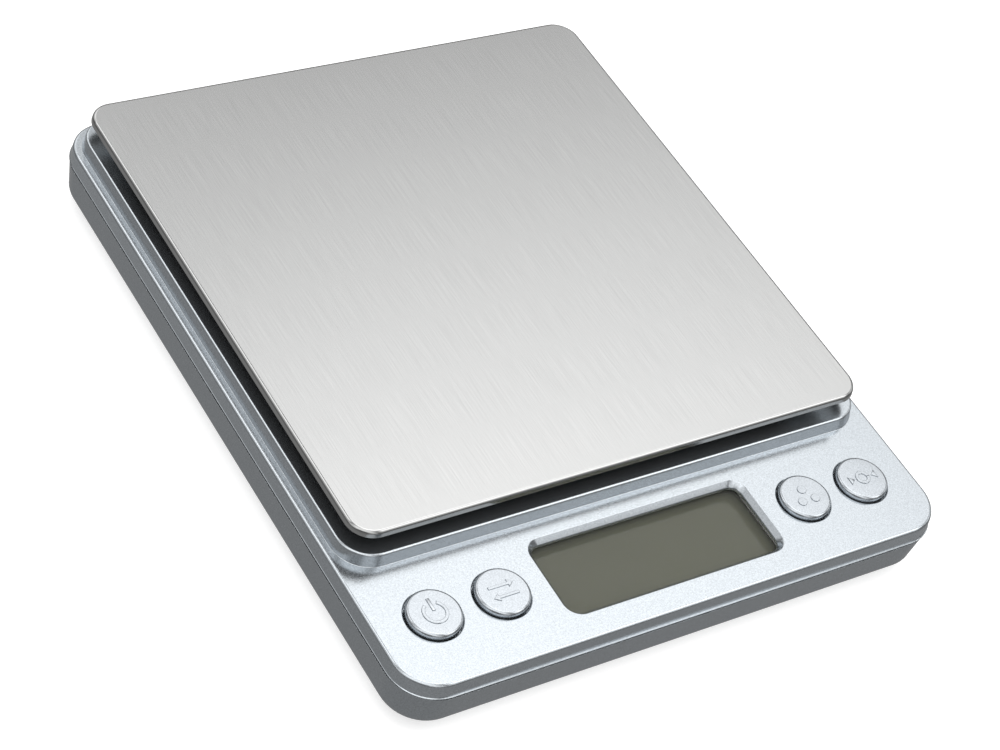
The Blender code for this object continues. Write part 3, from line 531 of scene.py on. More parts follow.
def case_wall(low_z):
    """The upper case's solid outside up to the deck: soft edge, ledge, leaning wall and fillet."""
    soft, bend = 0.03 * MM, 0.04 * MM
    edge = [(soft, soft, low_z), (0.0, 0.0, low_z + soft), (0.0, 0.0, low_z + 2 * soft)]
    edge += [(bend, bend, low_z + 0.10 * MM)]
    wall = [(LEDGE[0] - bend, LEDGE[1] - bend, low_z + 0.13 * MM), (LEDGE[0], LEDGE[1], low_z + 0.17 * MM)]
    rise = DECK_Z - low_z
    for inset, z in arc(DECK_FILLET, DECK_Z - DECK_FILLET, -DECK_FILLET, 0, -90, 8):
        share = (z - low_z) / rise
        inset_x, inset_y = (max(lean * share, ledge) for lean, ledge in zip(DECK_LEAN, LEDGE))
        wall.append((inset + inset_x, inset + inset_y, z))
    bow_rise = 0.8 * rise
    bows = [0.0] * len(edge) + [max(LEDGE_BOW * (1 - (z - low_z) / bow_rise), 0.0) for _, _, z in wall]
    return lofted(CASE_PLAN, edge + wall, bows)


def plinth():
    """The solid plinth: a small cove at its foot, a leaning wall and a fillet."""
    profile = [(-PLINTH_COVE - 0.3 * MM, DECK_Z - 0.4 * MM), (-PLINTH_COVE - 0.02 * MM, DECK_Z - 0.015 * MM)]
    profile += arc(-PLINTH_COVE, DECK_Z + PLINTH_COVE, PLINTH_COVE, -84, 0, 7)
    fillet = arc(PLINTH_FILLET, PLINTH_Z - PLINTH_FILLET, -PLINTH_FILLET, 0, -90, 6)
    profile += [(PLINTH_LEAN + inset, z) for inset, z in fillet]
    return lofted(PLINTH_PLAN, profile)


def make_top_case():
    """The upper case: outside, hollow, screw bosses, and openings for the display, the post and the keys."""
    low_z = PARTING_HIGH_Z - 0.03 * MM
    piece = new_object("top_case_shell", case_wall(low_z))
    join(piece, plinth())

    below = low_z - MM
    cavity = plan_within(CASE_PLAN, WALL, CASE_PLAN[4] - WALL)
    cut(piece, lofted(cavity, [(0.0, below), (0.0, DECK_Z - CEILING)]))
    hollow = plan_within(PLINTH_PLAN, PLINTH_WALL, PLINTH_INNER_CORNER)
    cut(piece, lofted(hollow, [(0.0, below), (0.0, PLINTH_Z - PLINTH_CEILING)]))

    bosses, bores = [], []
    for prefix, (radius, bore, foot_z) in BOSSES.items():
        for spot in corner_spots(prefix):
            root = DECK_Z - CEILING / 2 if spot.y < PLINTH_PLAN[2] else PLINTH_Z - PLINTH_CEILING / 2
            bosses.append(cylinder(spot, foot_z, root, radius))
            bores.append(cylinder(spot, foot_z - MM, foot_z + BORE_DEPTH, bore))
    join(piece, *bosses)
    cut(piece, *bores)

    cut(piece, window_cutter(), post_cutter(), *[key_cutter(name) for name in KEYS])
    finish_surface(piece)
    dress(piece, CASE_PAINT, "housing", "silver_paint", "top_case")


WINDOW_PLAN = (-21.6 * MM, 21.7 * MM, -58.6 * MM, -42.9 * MM, 2.9 * MM)
WINDOW_CHAMFER = 0.92 * MM
KEY_HOLE = 4.75 * MM
KEY_HOLE_FILLET = 0.22 * MM
POST_OPENING = (10.0 * MM, 7.5 * MM)
POST_OPENING_CORNER = 2.0 * MM


def window_cutter():
    """The recess over the display: an upright wall, then a chamfer with softened edges."""
    reach = WINDOW_CHAMFER
    soft = 0.12 * MM
    profile = [(reach, DECK_Z - CEILING - MM), (reach, DECK_Z - reach - soft)]
    profile += [(reach - soft, DECK_Z - reach + soft), (soft, DECK_Z - soft)]
    profile += [(0.3 * soft, DECK_Z - 0.25 * soft), (-0.7 * soft, DECK_Z + 0.02 * MM)]
    profile += [(-0.7 * soft, DECK_Z + MM)]
    return lofted(WINDOW_PLAN, profile)


def post_cutter():
    """The opening in the plinth for the pan support's post, about the two pan screws."""
    centre = middle(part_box("pan_screw_1")[0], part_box("pan_screw_2")[1])
    plan = plan_about(centre.x, centre.y, *POST_OPENING, POST_OPENING_CORNER)
    return lofted(plan, [(0.0, PLINTH_Z - 2 * MM), (0.0, PLINTH_Z + MM)])


def key_cutter(name):
    """A round key hole with a rounded upper edge."""
    fillet, mouth = KEY_HOLE_FILLET, KEY_HOLE + KEY_HOLE_FILLET
    profile = [(KEY_HOLE, DECK_Z - 2 * MM), *arc(mouth, DECK_Z - fillet, -fillet, 0, -90, 4)]
    profile += [(mouth + 0.1 * MM, DECK_Z + 0.02 * MM), (mouth + 0.1 * MM, DECK_Z + MM)]
    return turned(profile, key_centre(name), 72)


# ---------------------------------------------------------------- the lower case

BASE_PLAN = (-HALF_X, HALF_X, -HALF_Y, HALF_Y, 8.0 * MM)
BASE_ROUND = 2.4 * MM
BASE_LEAN = 0.6 * MM
BASE_RIM = 0.02 * MM
INNER_CORNER = 5.35 * MM
LIP_INSET = WALL + FIT
LIP_THICK = 0.85 * MM
LIP_SPAN_Z = (8.4 * MM, 10.9 * MM)
# The floor's inner face, the roots of what stands on it, and the ends of the cutters that go right through.
INSIDE_Z = BASE_Z + 1.5 * MM
ROOT_Z = INSIDE_Z - 0.5 * MM
BELOW_Z = BASE_Z - MM
OVER_Z = 12.0 * MM
PEDESTAL_END_X = -13.5 * MM
BOARD_POST_XY = (24.0 * MM, -34.0 * MM)
BOARD_POST_RADIUS = 2.0 * MM
BOARD_POST_TOP_Z = 5.1 * MM
BAY_WALL = 1.2 * MM
BAY_HALF_X = 25.0 * MM
BAY_SPAN_Y = (DOOR_LOW.y + BAY_WALL, DOOR_HIGH.y + FIT)
BAY_TOP_Z = 11.0 * MM
TAB_X = 15.0 * MM
TAB_HALF = 3.0 * MM
SCOOP_HALF_X = 5.0 * MM
SCOOP_CORNER = 1.6 * MM
# Round recesses in the underside, as radius and depth, and how far the label's reaches past the label.
CASE_HEAD_RECESS = (2.5 * MM, 2.2 * MM)
CELL_HEAD_RECESS = (3.0 * MM, 1.6 * MM)
FOOT_RECESS = (4.8 * MM, 0.8 * MM)
CASE_BORE_TOP_Z = 9.0 * MM
CELL_BORE = 1.65 * MM
CELL_BORE_TOP_Z = 6.0 * MM
LABEL_MARGIN = 0.4 * MM
LABEL_CORNER = 2.4 * MM
LABEL_DEPTH = 0.5 * MM


def tray():
    """The empty lower case: rounded below, leaning walls, and a lip inside its rim for the upper case."""
    profile = [(BASE_LEAN + u, z) for u, z in arc(BASE_ROUND, BASE_Z + BASE_ROUND, -BASE_ROUND, 90, 0, 10)]
    profile += arc(BASE_RIM, PARTING_LOW_Z - BASE_RIM, -BASE_RIM, 0, -90, 6)
    piece = new_object("bottom_case_shell", lofted(BASE_PLAN, profile))
    lip = plan_within(BASE_PLAN, LIP_INSET, BASE_PLAN[4] - LIP_INSET)
    lip_low, lip_high = LIP_SPAN_Z
    join(piece, lofted(lip, [(0.0, lip_low), (0.0, lip_high - 0.1 * MM), (0.1 * MM, lip_high)]))
    hollow = [(1.6 * MM, INSIDE_Z), (0.9 * MM, INSIDE_Z + 0.3 * MM), (0.6 * MM, INSIDE_Z + MM)]
    hollow += [(0.0, lip_low + 0.4 * MM)]
    cut(piece, lofted(plan_within(BASE_PLAN, WALL, INNER_CORNER), hollow))
    mouth = plan_within(BASE_PLAN, LIP_INSET + LIP_THICK, INNER_CORNER)
    cut(piece, lofted(mouth, [(0.0, INSIDE_Z + 2 * MM), (0.0, OVER_Z)]))
    return piece


def bay_block(margin, low_z, high_z):
    """A block over the battery bay, with a margin all round."""
    half_x = BAY_HALF_X + margin
    low_y, high_y = BAY_SPAN_Y
    return box_shape((-half_x, low_y - margin, low_z), (half_x, high_y + margin, high_z))


def add_posts(piece):
    """What stands on the floor: screw bosses, the load cell's pedestal, board posts and the bay's walls."""
    radius, _, boss_z = BOSSES["case_screw"]
    join(piece, *[cylinder(spot, ROOT_Z, boss_z - FIT, radius) for spot in corner_spots("case_screw")])
    cell_low, cell_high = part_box("load_cell")
    pedestal = box_shape((cell_low.x, cell_low.y, ROOT_Z), (PEDESTAL_END_X, cell_high.y, cell_low.z - FIT))
    post_x, post_y = BOARD_POST_XY
    posts = [cylinder((x, post_y), ROOT_Z, BOARD_POST_TOP_Z, BOARD_POST_RADIUS) for x in (-post_x, post_x)]
    join(piece, pedestal, *posts, bay_block(BAY_WALL, ROOT_Z, BAY_TOP_Z))


def open_bay(piece):
    """The battery bay, the two slots for the door's tabs, and a finger scoop behind the door."""
    cut(piece, bay_block(0.0, BELOW_Z, OVER_Z))
    low_y, high_y = BAY_SPAN_Y
    slots = []
    for x in (-TAB_X, TAB_X):
        low = (x - TAB_HALF - FIT, low_y - BAY_WALL - 0.5 * MM, BASE_Z + 0.5 * MM)
        slots.append(box_shape(low, (x + TAB_HALF + FIT, low_y + 0.3 * MM, BASE_Z + 3.5 * MM)))
    scoop_plan = (-SCOOP_HALF_X, SCOOP_HALF_X, high_y - 0.4 * MM, high_y + 3.0 * MM, SCOOP_CORNER)
    scoop = [(-0.3 * MM, BELOW_Z), (-0.3 * MM, BASE_Z)]
    scoop += [(0.0, BASE_Z + 0.4 * MM), (0.4 * MM, BASE_Z + 0.8 * MM)]
    cut(piece, lofted(scoop_plan, scoop), *slots)


def head_recess(spot, radius, depth):
    """A screw head's recess in the underside, with a softened mouth."""
    soft = 0.1 * MM
    profile = [(radius + soft, BELOW_Z), (radius + soft, BASE_Z)]
    profile += [(radius, BASE_Z + soft), (radius, BASE_Z + depth)]
    return turned(profile, spot, 48)


def open_underside(piece):
    """The screw bores, then the shallow recesses for their heads, the feet and the label."""
    case_spots = corner_spots("case_screw")
    cell_spots = [middle(*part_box(f"load_cell_screw_{number}")) for number in (1, 2)]
    bores = [cylinder(spot, BELOW_Z, CASE_BORE_TOP_Z, BOSSES["case_screw"][1]) for spot in case_spots]
    bores += [cylinder(spot, BELOW_Z, CELL_BORE_TOP_Z, CELL_BORE) for spot in cell_spots]
    cut(piece, *bores)
    recesses = [head_recess(spot, *CASE_HEAD_RECESS) for spot in case_spots]
    recesses += [head_recess(spot, *CELL_HEAD_RECESS) for spot in cell_spots]
    foot_radius, foot_depth = FOOT_RECESS
    foot_spots = corner_spots("foot")
    recesses += [cylinder(spot, BELOW_Z, BASE_Z + foot_depth, foot_radius, 64) for spot in foot_spots]
    label = plan_within(plan_of(LABEL_LOW, LABEL_HIGH, 0.0), -LABEL_MARGIN, LABEL_CORNER)
    recesses.append(lofted(label, [(0.0, BELOW_Z), (0.0, BASE_Z + LABEL_DEPTH)]))
    cut(piece, *recesses)


def make_bottom_case():
    """The lower case: a tray with what stands in it, the battery bay and the recesses of its underside."""
    piece = tray()
    add_posts(piece)
    open_bay(piece)
    open_underside(piece)
    finish_surface(piece)
    dress(piece, CASE_PAINT, "housing", "silver_paint", "bottom_case")


# ---------------------------------------------------------------- pan, keys and display

PAN_CORNER = 4.4 * MM
PAN_SHEET = 0.6 * MM
PAN_EDGE = 0.62 * MM
PAN_INNER_EDGE = 0.22 * MM
PAN_LEAN = 0.08 * MM


def make_pan():
    """A sheet with a rounded, turned-down edge, whose lower end is softened."""
    plan = plan_of(PAN_LOW, PAN_HIGH, PAN_CORNER)
    low, high = PAN_LOW.z, PAN_HIGH.z
    profile = [(0.15 * MM, low), (0.04 * MM, low + 0.04 * MM), (0.0, low + 0.12 * MM)]
    profile += [(PAN_LEAN + u, z) for u, z in arc(PAN_EDGE, high - PAN_EDGE, -PAN_EDGE, -8, -90, 10)]
    piece = new_object("pan_sheet", lofted(plan, profile))
    fillet = arc(PAN_INNER_EDGE, high - PAN_SHEET - PAN_INNER_EDGE, -PAN_INNER_EDGE, 0, -90, 5)
    hollow = [(PAN_SHEET, low - MM)] + [(PAN_SHEET + inset, z) for inset, z in fillet]
    cut(piece, lofted(plan, hollow))
    finish_surface(piece)
    dress(piece, STEEL, "pan", "steel", "weighing_pan")


def band(centre, inner, outer, start, end, steps=40):
    """The outline of a ring's stretch, anticlockwise, with angles in degrees."""
    def points(radius, first, last):
        angles = [math.radians(first + (last - first) * i / steps) for i in range(steps + 1)]
        return [(centre[0] + radius * math.cos(a), centre[1] + radius * math.sin(a)) for a in angles]
    return points(outer, start, end) + points(inner, end, start)


def bar(x_low, x_high, y_low, y_high):
    """The outline of a rectangle."""
    return [(x_low, y_low), (x_high, y_low), (x_high, y_high), (x_low, y_high)]


def arrow(tail, tip, y, half=0.27 * MM, head=1.0 * MM, spread=0.75 * MM):
    """The outline of a flat arrow along X at height y."""
    way = math.copysign(1.0, tip - tail)
    neck = tip - way * head
    points = [(tail, y - half), (neck, y - half), (neck, y - spread), (tip, y)]
    points += [(neck, y + spread), (neck, y + half), (tail, y + half)]
    return points if way > 0 else points[::-1]


def raised(outline, centre, base_z, height):
    """A flat relief over an outline, with a softened upper edge."""
    shape = bmesh.new()
    face = shape.faces.new([shape.verts.new((centre[0] + x, centre[1] + y, base_z)) for x, y in outline])
    face.normal_update()
    if face.normal.z > 0:
        face.normal_flip()
    grown = bmesh.ops.extrude_face_region(shape, geom=[face])
    top = [item for item in grown["geom"] if isinstance(item, bmesh.types.BMVert)]
    bmesh.ops.translate(shape, verts=top, vec=(0, 0, height))
    rim = [edge for edge in shape.edges if all(vert in top for vert in edge.verts)]
    bmesh.ops.bevel(
        shape, geom=rim, offset=MARK_BEVEL, offset_type="OFFSET", segments=3, profile=0.5, affect="EDGES",
    )
    return shape


def dot(x, y, radius, sides=28):
    """The outline of a full circle."""
    return band((x, y), 0.0, radius, 0, 360, sides)[:sides]


def pointer(tip, y, length=1.05 * MM, half=0.85 * MM):
    """A small triangle whose tip points along X at height y."""
    tail = tip + math.copysign(length, tip)
    points = [(tail, y - half), (tip, y), (tail, y + half)]
    return points if tail < tip else points[::-1]


def key_marks():
    """Generic marks: power, swap units, count pieces, back to zero."""
    power = [band((0, -0.1 * MM), 1.60 * MM, 2.15 * MM, 122, 418)]
    power.append(bar(-0.28 * MM, 0.28 * MM, 0.2 * MM, 2.6 * MM))
    mode = [arrow(-2.3 * MM, 2.3 * MM, 1.0 * MM), arrow(2.3 * MM, -2.3 * MM, -1.0 * MM)]
    count = [dot(x * MM, y * MM, 0.82 * MM) for x, y in ((0.0, 1.25), (-1.35, -1.0), (1.35, -1.0))]
    zero = [band((0, 0), 0.75 * MM, 1.35 * MM, 0, 359, 48)]
    zero += [pointer(tip, 0.0) for tip in (-1.75 * MM, 1.75 * MM)]
    return {"power": power, "mode": mode, "count": count, "tare": zero}


KEY_RADIUS = 4.55 * MM
KEY_EDGE = 0.50 * MM
KEY_STEM = 1.3 * MM
KEY_FLANGE = 0.8 * MM
# How high the marks stand on a key, how deep they are rooted in it, and the rounding of their edges.
KEY_RELIEF = 0.16 * MM
MARK_ROOT = 0.08 * MM
MARK_BEVEL = 0.09 * MM


def make_keys():
    """Round keys with a stem, a flange under the deck, a rounded upper edge and a raised mark."""
    for name, outlines in key_marks().items():
        low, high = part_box(f"button_{name}")
        centre = middle(low, high)
        flange = high.x - centre.x
        flange_top = DECK_Z - CEILING - FIT
        flange_low = flange_top - KEY_FLANGE
        top = high.z - KEY_RELIEF
        flat = KEY_RADIUS - KEY_EDGE
        profile = [(0.0, low.z), (KEY_STEM, low.z), (KEY_STEM, flange_low)]
        profile += [(flange, flange_low), (flange, flange_top), (KEY_RADIUS, flange_top)]
        profile += arc(flat, top - KEY_EDGE, KEY_EDGE, 0, 84, 8)
        profile += [(flat - 0.05 * MM, top), (0.0, top)]
        piece = new_object(f"key_{name}_cap", turned(profile, centre, 96))
        root = top - MARK_ROOT
        join(piece, *[raised(outline, centre, root, high.z - root) for outline in outlines])
        finish_surface(piece)
        dress(piece, KEY_PAINT, f"key_{name}", "key_paint", f"button_{name}")


def make_window():
    """The clear window, a plate with softened edges."""
    edge = 0.08 * MM
    low, high = LENS_LOW.z, LENS_HIGH.z
    profile = [(edge, low), (0.0, low + edge), (0.0, high - edge), (edge, high)]
    piece = new_object("display_window", lofted(plan_of(LENS_LOW, LENS_HIGH, MM), profile))
    finish_surface(piece)
    dress(piece, WINDOW, "housing", "clear_lens", "lcd_window")


# ---------------------------------------------------------------- feet, screws, batteries and door

# The dish in a foot's underside, as distances from its middle and heights over its rim.
FOOT_DISH = (
    (0.0, 0.35 * MM), (1.7 * MM, 0.35 * MM), (2.0 * MM, 0.28 * MM), (2.35 * MM, 0.06 * MM), (2.55 * MM, 0.0),
)
FOOT_EDGE = 0.45 * MM


def make_feet():
    """Dished rubber feet with a softened rim."""
    for end in ENDS:
        low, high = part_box(f"foot_{end}")
        centre = middle(low, high)
        radius = high.x - centre.x
        profile = [(distance, low.z + height) for distance, height in FOOT_DISH]
        profile += arc(radius - FOOT_EDGE, low.z + FOOT_EDGE, FOOT_EDGE, -90, 0, 6)
        profile += [(radius, high.z - 0.1 * MM), (radius - 0.1 * MM, high.z), (0.0, high.z)]
        piece = new_object(f"foot_{end}_pad", turned(profile, centre, 64))
        finish_surface(piece)
        dress(piece, RUBBER, "housing", "black_rubber", f"foot_{end}")


def thread(radius, start_z, end_z, pitch=0.6 * MM, depth=0.16 * MM):
    """Profile points of a ridged shaft from start_z to end_z, ending in a short point."""
    turns = int(abs(end_z - start_z) / pitch) - 1
    step = math.copysign(pitch, end_z - start_z)
    points = [(radius - depth, start_z)]
    for i in range(turns):
        root = start_z + step * (i + 0.25)
        points += [(radius - depth, root), (radius, root + 0.35 * step), (radius, root + 0.45 * step)]
    points += [(radius - depth, start_z + step * (turns + 0.3))]
    points += [(0.45 * radius, end_z - 0.15 * step), (0.0, end_z)]
    return points


def make_screw(node, body, drive_down, head_height, shaft_radius):
    """A domed screw with a crossed recess. drive_down says that its head faces the floor."""
    low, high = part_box(node)
    centre = middle(low, high)
    radius = high.x - centre.x
    outer_z, tip_z = (low.z, high.z) if drive_down else (high.z, low.z)
    inward = 1.0 if drive_down else -1.0
    dome = 0.35 * head_height
    # The head as shares of its radius and depths from its outer face.
    head = [(0.0, 0.0), (0.45, 0.0), (0.78, 0.3 * dome), (0.94, dome), (1.0, 1.6 * dome)]
    head += [(1.0, head_height - 0.08 * MM), (0.96, head_height)]
    profile = [(share * radius, outer_z + inward * depth) for share, depth in head]
    profile += thread(shaft_radius, outer_z + inward * head_height, tip_z)
    piece = new_object(f"{node}_body", turned(profile if drive_down else profile[::-1], centre, 48))
    reach, half, deep = 0.60 * radius, 0.13 * radius, 0.62 * head_height
    # The two bars of the cross meet, so they are cut one after the other.
    for half_x, half_y in ((reach, half), (half, reach)):
        plan = plan_about(centre.x, centre.y, half_x, half_y, 0.9 * half)
        levels = [(0.0, outer_z - inward * MM), (0.0, outer_z), (0.45 * half, outer_z + inward * deep)]
        cut(piece, lofted(plan, levels if drive_down else levels[::-1]))
    finish_surface(piece)
    dress(piece, ZINC, body, "screw_steel", node)


def make_screws():
    """Every screw, with its head's height and its shaft's radius."""
    for end in ENDS:
        make_screw(f"case_screw_{end}", "housing", True, head_height=1.3 * MM, shaft_radius=1.05 * MM)
        make_screw(f"board_screw_{end}", "housing", False, head_height=0.9 * MM, shaft_radius=0.85 * MM)
    for number in (1, 2):
        make_screw(f"load_cell_screw_{number}", "housing", True, head_height=1.1 * MM, shaft_radius=1.3 * MM)
        make_screw(f"pan_screw_{number}", "pan", False, head_height=1.1 * MM, shaft_radius=1.3 * MM)


# A cell is modelled standing on Z about the origin, so these heights are measured from its middle.
BATTERY_RADIUS = 5.2 * MM
BATTERY_TOP = 44.5 * MM / 2
BATTERY_FOOT = -BATTERY_TOP
BATTERY_SHOULDER = BATTERY_TOP - MM
BATTERY_FILM = 0.12 * MM
BAND_LENGTH = 12.5 * MM


def along_x(shape, centre, side):
    """Lays an upright turned shape down along X, its top towards side."""
    turn = Matrix.Rotation(side * math.pi / 2, 3, "Y")
    bmesh.ops.rotate(shape, verts=shape.verts, cent=(0, 0, 0), matrix=turn)
    bmesh.ops.translate(shape, verts=shape.verts, vec=centre)
    return shape


def sleeve(low, high):
    """A stretch of the film round a cell, a closed tube with softened outer edges."""
    outer, inner, edge = BATTERY_RADIUS, BATTERY_RADIUS - BATTERY_FILM, 0.05 * MM
    profile = [(outer - edge, low), (outer, low + edge), (outer, high - edge), (outer - edge, high)]
    profile += [(inner, high), (inner, low)]
    shape = bmesh.new()
    levels = []
    for radius, z in profile:
        levels.append([shape.verts.new(point) for point in circle((0.0, 0.0), radius, z, 64)])
    for lower, upper in zip(levels, levels[1:] + levels[:1]):
        side_faces(shape, lower, upper)
    return shape


def battery_can():
    """The plated can: a dished foot, a rounded shoulder with a step, and the plus nub."""
    can, edge = BATTERY_RADIUS - BATTERY_FILM, 0.4 * MM
    nub, nub_edge = 1.9 * MM, 0.25 * MM
    foot, shoulder, top = BATTERY_FOOT, BATTERY_SHOULDER, BATTERY_TOP
    profile = [(0.0, foot + 0.15 * MM), (3.4 * MM, foot + 0.15 * MM), (3.7 * MM, foot)]
    profile += arc(can - edge, foot + edge, edge, -90, 0, 4)
    profile += [(can, shoulder - 0.5 * MM), *arc(can - edge, shoulder - edge, edge, 10, 90, 4)]
    profile += [(3.2 * MM, shoulder), (3.0 * MM, shoulder - 0.3 * MM), (2.3 * MM, shoulder - 0.3 * MM)]
    profile += [(nub, shoulder - 0.1 * MM), *arc(nub - nub_edge, top - nub_edge, nub_edge, 0, 90, 4)]
    profile += [(0.0, top)]
    return turned(profile, (0.0, 0.0))


def make_batteries():
    """Two cells that point opposite ways: a plated can, a dark film and a copper band at the plus end."""
    band_low = BATTERY_SHOULDER - BAND_LENGTH
    for number, side in ((1, 1), (2, -1)):
        centre = middle(*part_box(f"battery_{number}"))
        layers = (
            ("can", battery_can(), NICKEL),
            ("sleeve", sleeve(BATTERY_FOOT + 0.5 * MM, band_low), WRAP),
            ("band", sleeve(band_low, BATTERY_SHOULDER - 0.35 * MM), COPPER),
        )
        for name, shape, material in layers:
            piece = new_object(f"battery_{number}_{name}", along_x(shape, centre, side))
            finish_surface(piece)
            dress(piece, material, "housing", "battery_wrap", f"battery_{number}")


def swept(points, radius, sides=10):
    """A round wire with closed ends through the points."""
    rings = []
    for i, point in enumerate(points):
        ahead = (points[min(i + 1, len(points) - 1)] - points[max(i - 1, 0)]).normalized()
        across = ahead.cross(Vector((1, 0, 0))).normalized()
        over = ahead.cross(across)
        rings.append([point + x * across + y * over for x, y, _ in circle((0.0, 0.0), radius, 0.0, sides)])
    return loft(rings)


SPRING_WIRE = 0.3 * MM
SPRING_TURNS = 3
SPRING_STEPS = 28
SPRING_WIDE = 3.4 * MM
SPRING_NARROW = 2.0 * MM


def make_springs():
    """Conical contact springs, wide at their plate."""
    count = SPRING_TURNS * SPRING_STEPS
    for number, side in ((1, -1), (2, 1)):
        low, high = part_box(f"contact_spring_{number}")
        ends = (low.x + SPRING_WIRE, high.x - SPRING_WIRE)
        start_x, end_x = ends if side < 0 else ends[::-1]
        axis = middle(*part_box(f"battery_{number}"))
        points = []
        for i in range(count + 1):
            share = i / count
            angle = 2 * math.pi * i / SPRING_STEPS
            radius = SPRING_WIDE + (SPRING_NARROW - SPRING_WIDE) * share
            x = start_x + (end_x - start_x) * share
            points.append(Vector((x, axis.y + radius * math.cos(angle), axis.z + radius * math.sin(angle))))
        piece = new_object(f"contact_spring_{number}_coil", swept(points, SPRING_WIRE))
        finish_surface(piece, sharp_degrees=60)
        dress(piece, NICKEL, "housing", "nickel", f"contact_spring_{number}")


DOOR_EDGE = 0.12 * MM
DOOR_LID = 1.0 * MM
TAB_LOW = 0.8 * MM
TAB_THICK = 0.8 * MM
LATCH_HALF = 3.6 * MM
RIB_HALF = 21.0 * MM
RIB_SPAN_Y = (43.2 * MM, 44.0 * MM)
SLIT_X = 4.6 * MM
SLIT_HALF = 0.3 * MM
GRIP_PLACES = (49.3 * MM, 50.4 * MM, 51.5 * MM, 52.6 * MM)
GRIP_HALF = (3.2 * MM, 0.28 * MM)
HINT_HALF = 1.9 * MM
HINT_SPAN_Y = (44.4 * MM, 47.0 * MM)


def make_door():
    """The battery door: a thin lid with two tabs, a latch between slits, a rib, grip grooves and an arrow."""
    low_z, lid_z = DOOR_LOW.z, DOOR_LOW.z + DOOR_LID
    below, root_z = low_z - MM, lid_z - 0.3 * MM
    front_y, back_y = DOOR_LOW.y + 1.5 * MM, DOOR_HIGH.y
    edge = DOOR_EDGE
    lid = [(edge, low_z), (0.3 * edge, low_z + 0.3 * edge), (0.0, low_z + edge)]
    lid += [(0.0, lid_z - edge), (edge, lid_z)]
    lid_plan = (DOOR_LOW.x, DOOR_HIGH.x, front_y, back_y, 0.5 * MM)
    piece = new_object("battery_door_lid", lofted(lid_plan, lid))

    tab_low = low_z + TAB_LOW
    tab_high = tab_low + TAB_THICK
    tab = [(edge, tab_low), (0.0, tab_low + edge), (0.0, tab_high - edge), (edge, tab_high)]
    for x in (-TAB_X, TAB_X):
        join(piece, lofted((x - TAB_HALF, x + TAB_HALF, DOOR_LOW.y, front_y + 1.9 * MM, 0.5 * MM), tab))
    latch_plan = (-LATCH_HALF, LATCH_HALF, back_y - 0.9 * MM, back_y - 0.1 * MM, 0.2 * MM)
    join(piece, lofted(latch_plan, [(0.0, root_z), (0.0, DOOR_HIGH.z - 0.3 * MM), (0.15 * MM, DOOR_HIGH.z)]))
    rib_plan = (-RIB_HALF, RIB_HALF, *RIB_SPAN_Y, 0.35 * MM)
    join(piece, lofted(rib_plan, [(0.0, root_z), (0.0, lid_z + 0.8 * MM), (0.15 * MM, lid_z + MM)]))

    slits = []
    for x in (-SLIT_X, SLIT_X):
        low = (x - SLIT_HALF, back_y - 6.0 * MM, below)
        slits.append(box_shape(low, (x + SLIT_HALF, back_y + MM, lid_z + 0.2 * MM)))
    groove = [(-0.1 * MM, below), (-0.1 * MM, low_z), (0.12 * MM, low_z + 0.35 * MM)]
    grooves = [lofted(plan_about(0.0, y, *GRIP_HALF, 0.25 * MM), groove) for y in GRIP_PLACES]
    tip_y, tail_y = HINT_SPAN_Y
    hint = prism(((0.0, tip_y), (HINT_HALF, tail_y), (-HINT_HALF, tail_y)), below, low_z + 0.3 * MM)
    cut(piece, *slits, *grooves, hint)
    finish_surface(piece)
    dress(piece, CASE_PAINT, "door", "silver_paint", "battery_door")


# ---------------------------------------------------------------- floor, light and camera

CAMERA_PLACE = (-224.73 * MM, -224.70 * MM, 307.79 * MM)
CAMERA_TURN = (44.13, -14.695, -30.928)
CAMERA_LENS = 92.44
GROUND_RADIUS = 4.0
GROUND_GLOW = 0.64
LAMP_SIZE = 1.6
LAMP_HEIGHT = 1.0
LAMP_WATTS = 5.0


def make_floor():
    """A pale floor that shows round the object but sends no light back up at it."""
    shape = bmesh.new()
    bmesh.ops.create_circle(shape, cap_ends=True, segments=96, radius=GROUND_RADIUS)
    floor = new_object("studio_floor", shape)
    look = Look("floor_pale", (0.50, 0.50, 0.50), 0.0, 0.7)
    look.tint(look.spread(look.noise(3), 0.0, 1.0), 0.995, 1.005)
    look.set(Emission_Color=(1.0, 1.0, 1.0, 1.0), Emission_Strength=GROUND_GLOW)
    floor.data.materials.append(look.material)
    floor.visible_diffuse = False
    floor.visible_glossy = False


# The tent's light by height, from straight below (-1) to straight above (1).
TENT = (
    (-1.0, 0.26), (-0.7, 0.27), (-0.55, 0.38), (-0.4, 0.23), (-0.2, 0.24),
    (0.0, 0.22), (0.15, 0.15), (0.35, 0.18), (1.0, 0.26),
)
# Soft boxes: azimuth from +X, elevation, half angle of the even middle, half angle at the rim, light.
# The last four stand low, one on each side, for looks from the front, right, back and left.
SOFT_BOXES = (
    (36.0, 55.0, 2.0, 24.5, 1.67),
    (42.0, 77.0, 6.0, 22.0, 1.1),
    (74.0, 38.0, 3.0, 16.0, 0.6),
    (-30.0, 50.0, 8.0, 20.0, 2.6),
    (-55.0, 29.0, 6.0, 18.0, 0.9),
    (124.0, 52.0, 7.0, 18.0, 1.9),
    (147.0, 29.0, 7.0, 20.0, 0.6),
    (225.0, 60.0, 15.0, 38.0, 1.4),
    (95.0, 28.0, 10.0, 30.0, 1.0),
    (185.0, 28.0, 10.0, 28.0, 0.9),
    (262.0, 25.0, 8.0, 23.0, 0.9),
    (0.0, 22.0, 8.0, 20.0, 0.9),
)


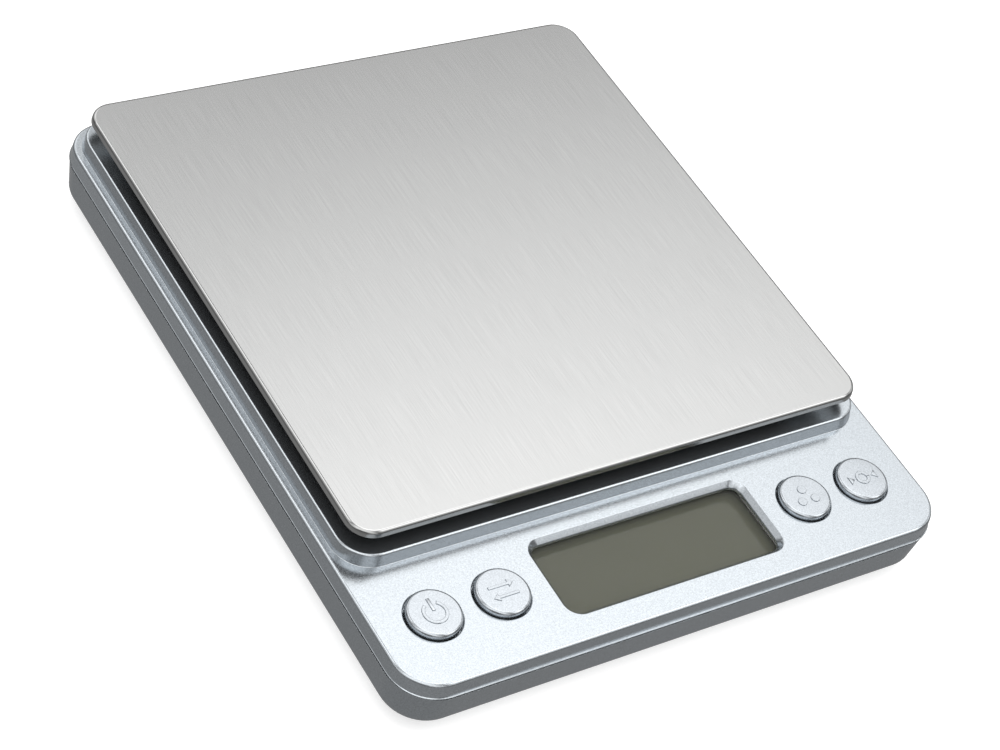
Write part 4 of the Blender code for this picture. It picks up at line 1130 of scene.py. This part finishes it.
def light_ramp(tree, height, stops):
    """A ramp node from a height in -1..1 to a brightness."""
    shift = tree.nodes.new("ShaderNodeMapRange")
    shift.inputs["From Min"].default_value = -1.0
    ramp = tree.nodes.new("ShaderNodeValToRGB")
    tree.links.new(height, shift.inputs["Value"])
    tree.links.new(shift.outputs["Result"], ramp.inputs["Fac"])
    for _ in stops[2:]:
        ramp.color_ramp.elements.new(0.5)
    for element, (place, value) in zip(ramp.color_ramp.elements, stops):
        element.position = (place + 1) / 2
        element.color = (value, value, value, 1.0)
    return ramp.outputs["Color"]


def soft_box(tree, direction, azimuth, elevation, inner, outer, light):
    """The light that one soft box gives along a direction."""
    a, e = math.radians(azimuth), math.radians(elevation)
    facing = tree.nodes.new("ShaderNodeVectorMath")
    facing.operation = "DOT_PRODUCT"
    tree.links.new(direction, facing.inputs[0])
    facing.inputs[1].default_value = (math.cos(a) * math.cos(e), math.sin(a) * math.cos(e), math.sin(e))
    fade = tree.nodes.new("ShaderNodeMapRange")
    fade.interpolation_type = "SMOOTHSTEP"
    fade.inputs["From Min"].default_value = math.cos(math.radians(outer))
    fade.inputs["From Max"].default_value = math.cos(math.radians(inner))
    fade.inputs["To Max"].default_value = light
    tree.links.new(facing.outputs["Value"], fade.inputs["Value"])
    return fade.outputs["Result"]


def make_sky():
    """A dim tent with a few soft boxes, which the metal mirrors."""
    world = bpy.data.worlds.new("soft_tent")
    bpy.context.scene.world = world
    world.use_nodes = True
    tree = world.node_tree
    direction = tree.nodes.new("ShaderNodeTexCoord").outputs["Generated"]
    split = tree.nodes.new("ShaderNodeSeparateXYZ")
    tree.links.new(direction, split.inputs["Vector"])
    total = light_ramp(tree, split.outputs["Z"], TENT)
    for box in SOFT_BOXES:
        add = tree.nodes.new("ShaderNodeVectorMath")
        add.operation = "ADD"
        tree.links.new(total, add.inputs[0])
        tree.links.new(soft_box(tree, direction, *box), add.inputs[1])
        total = add.outputs["Vector"]
    tree.links.new(total, tree.nodes["Background"].inputs["Color"])


def make_overhead_lamp():
    """A wide overhead lamp for the floor and the dull pieces, kept out of the metal's reflections."""
    lamp = bpy.data.lights.new("overhead", "AREA")
    lamp.shape = "DISK"
    lamp.size = LAMP_SIZE
    lamp.energy = LAMP_WATTS
    holder = bpy.data.objects.new("overhead", lamp)
    holder.location = (0.0, 0.0, LAMP_HEIGHT)
    holder.visible_glossy = False
    bpy.context.scene.collection.objects.link(holder)


def make_camera():
    camera = bpy.data.cameras.new("camera")
    camera.lens = CAMERA_LENS
    camera.sensor_width = 36.0
    camera.clip_start = 0.01
    holder = bpy.data.objects.new("camera", camera)
    holder.location = CAMERA_PLACE
    holder.rotation_euler = [math.radians(angle) for angle in CAMERA_TURN]
    bpy.context.scene.collection.objects.link(holder)
    bpy.context.scene.camera = holder


dress_cad_nodes()
make_top_case()
make_bottom_case()
make_pan()
make_keys()
make_window()
make_feet()
make_screws()
make_batteries()
make_springs()
make_door()
make_floor()
make_sky()
make_overhead_lamp()
make_camera()
bpy.context.scene.view_settings.view_transform = "Standard"
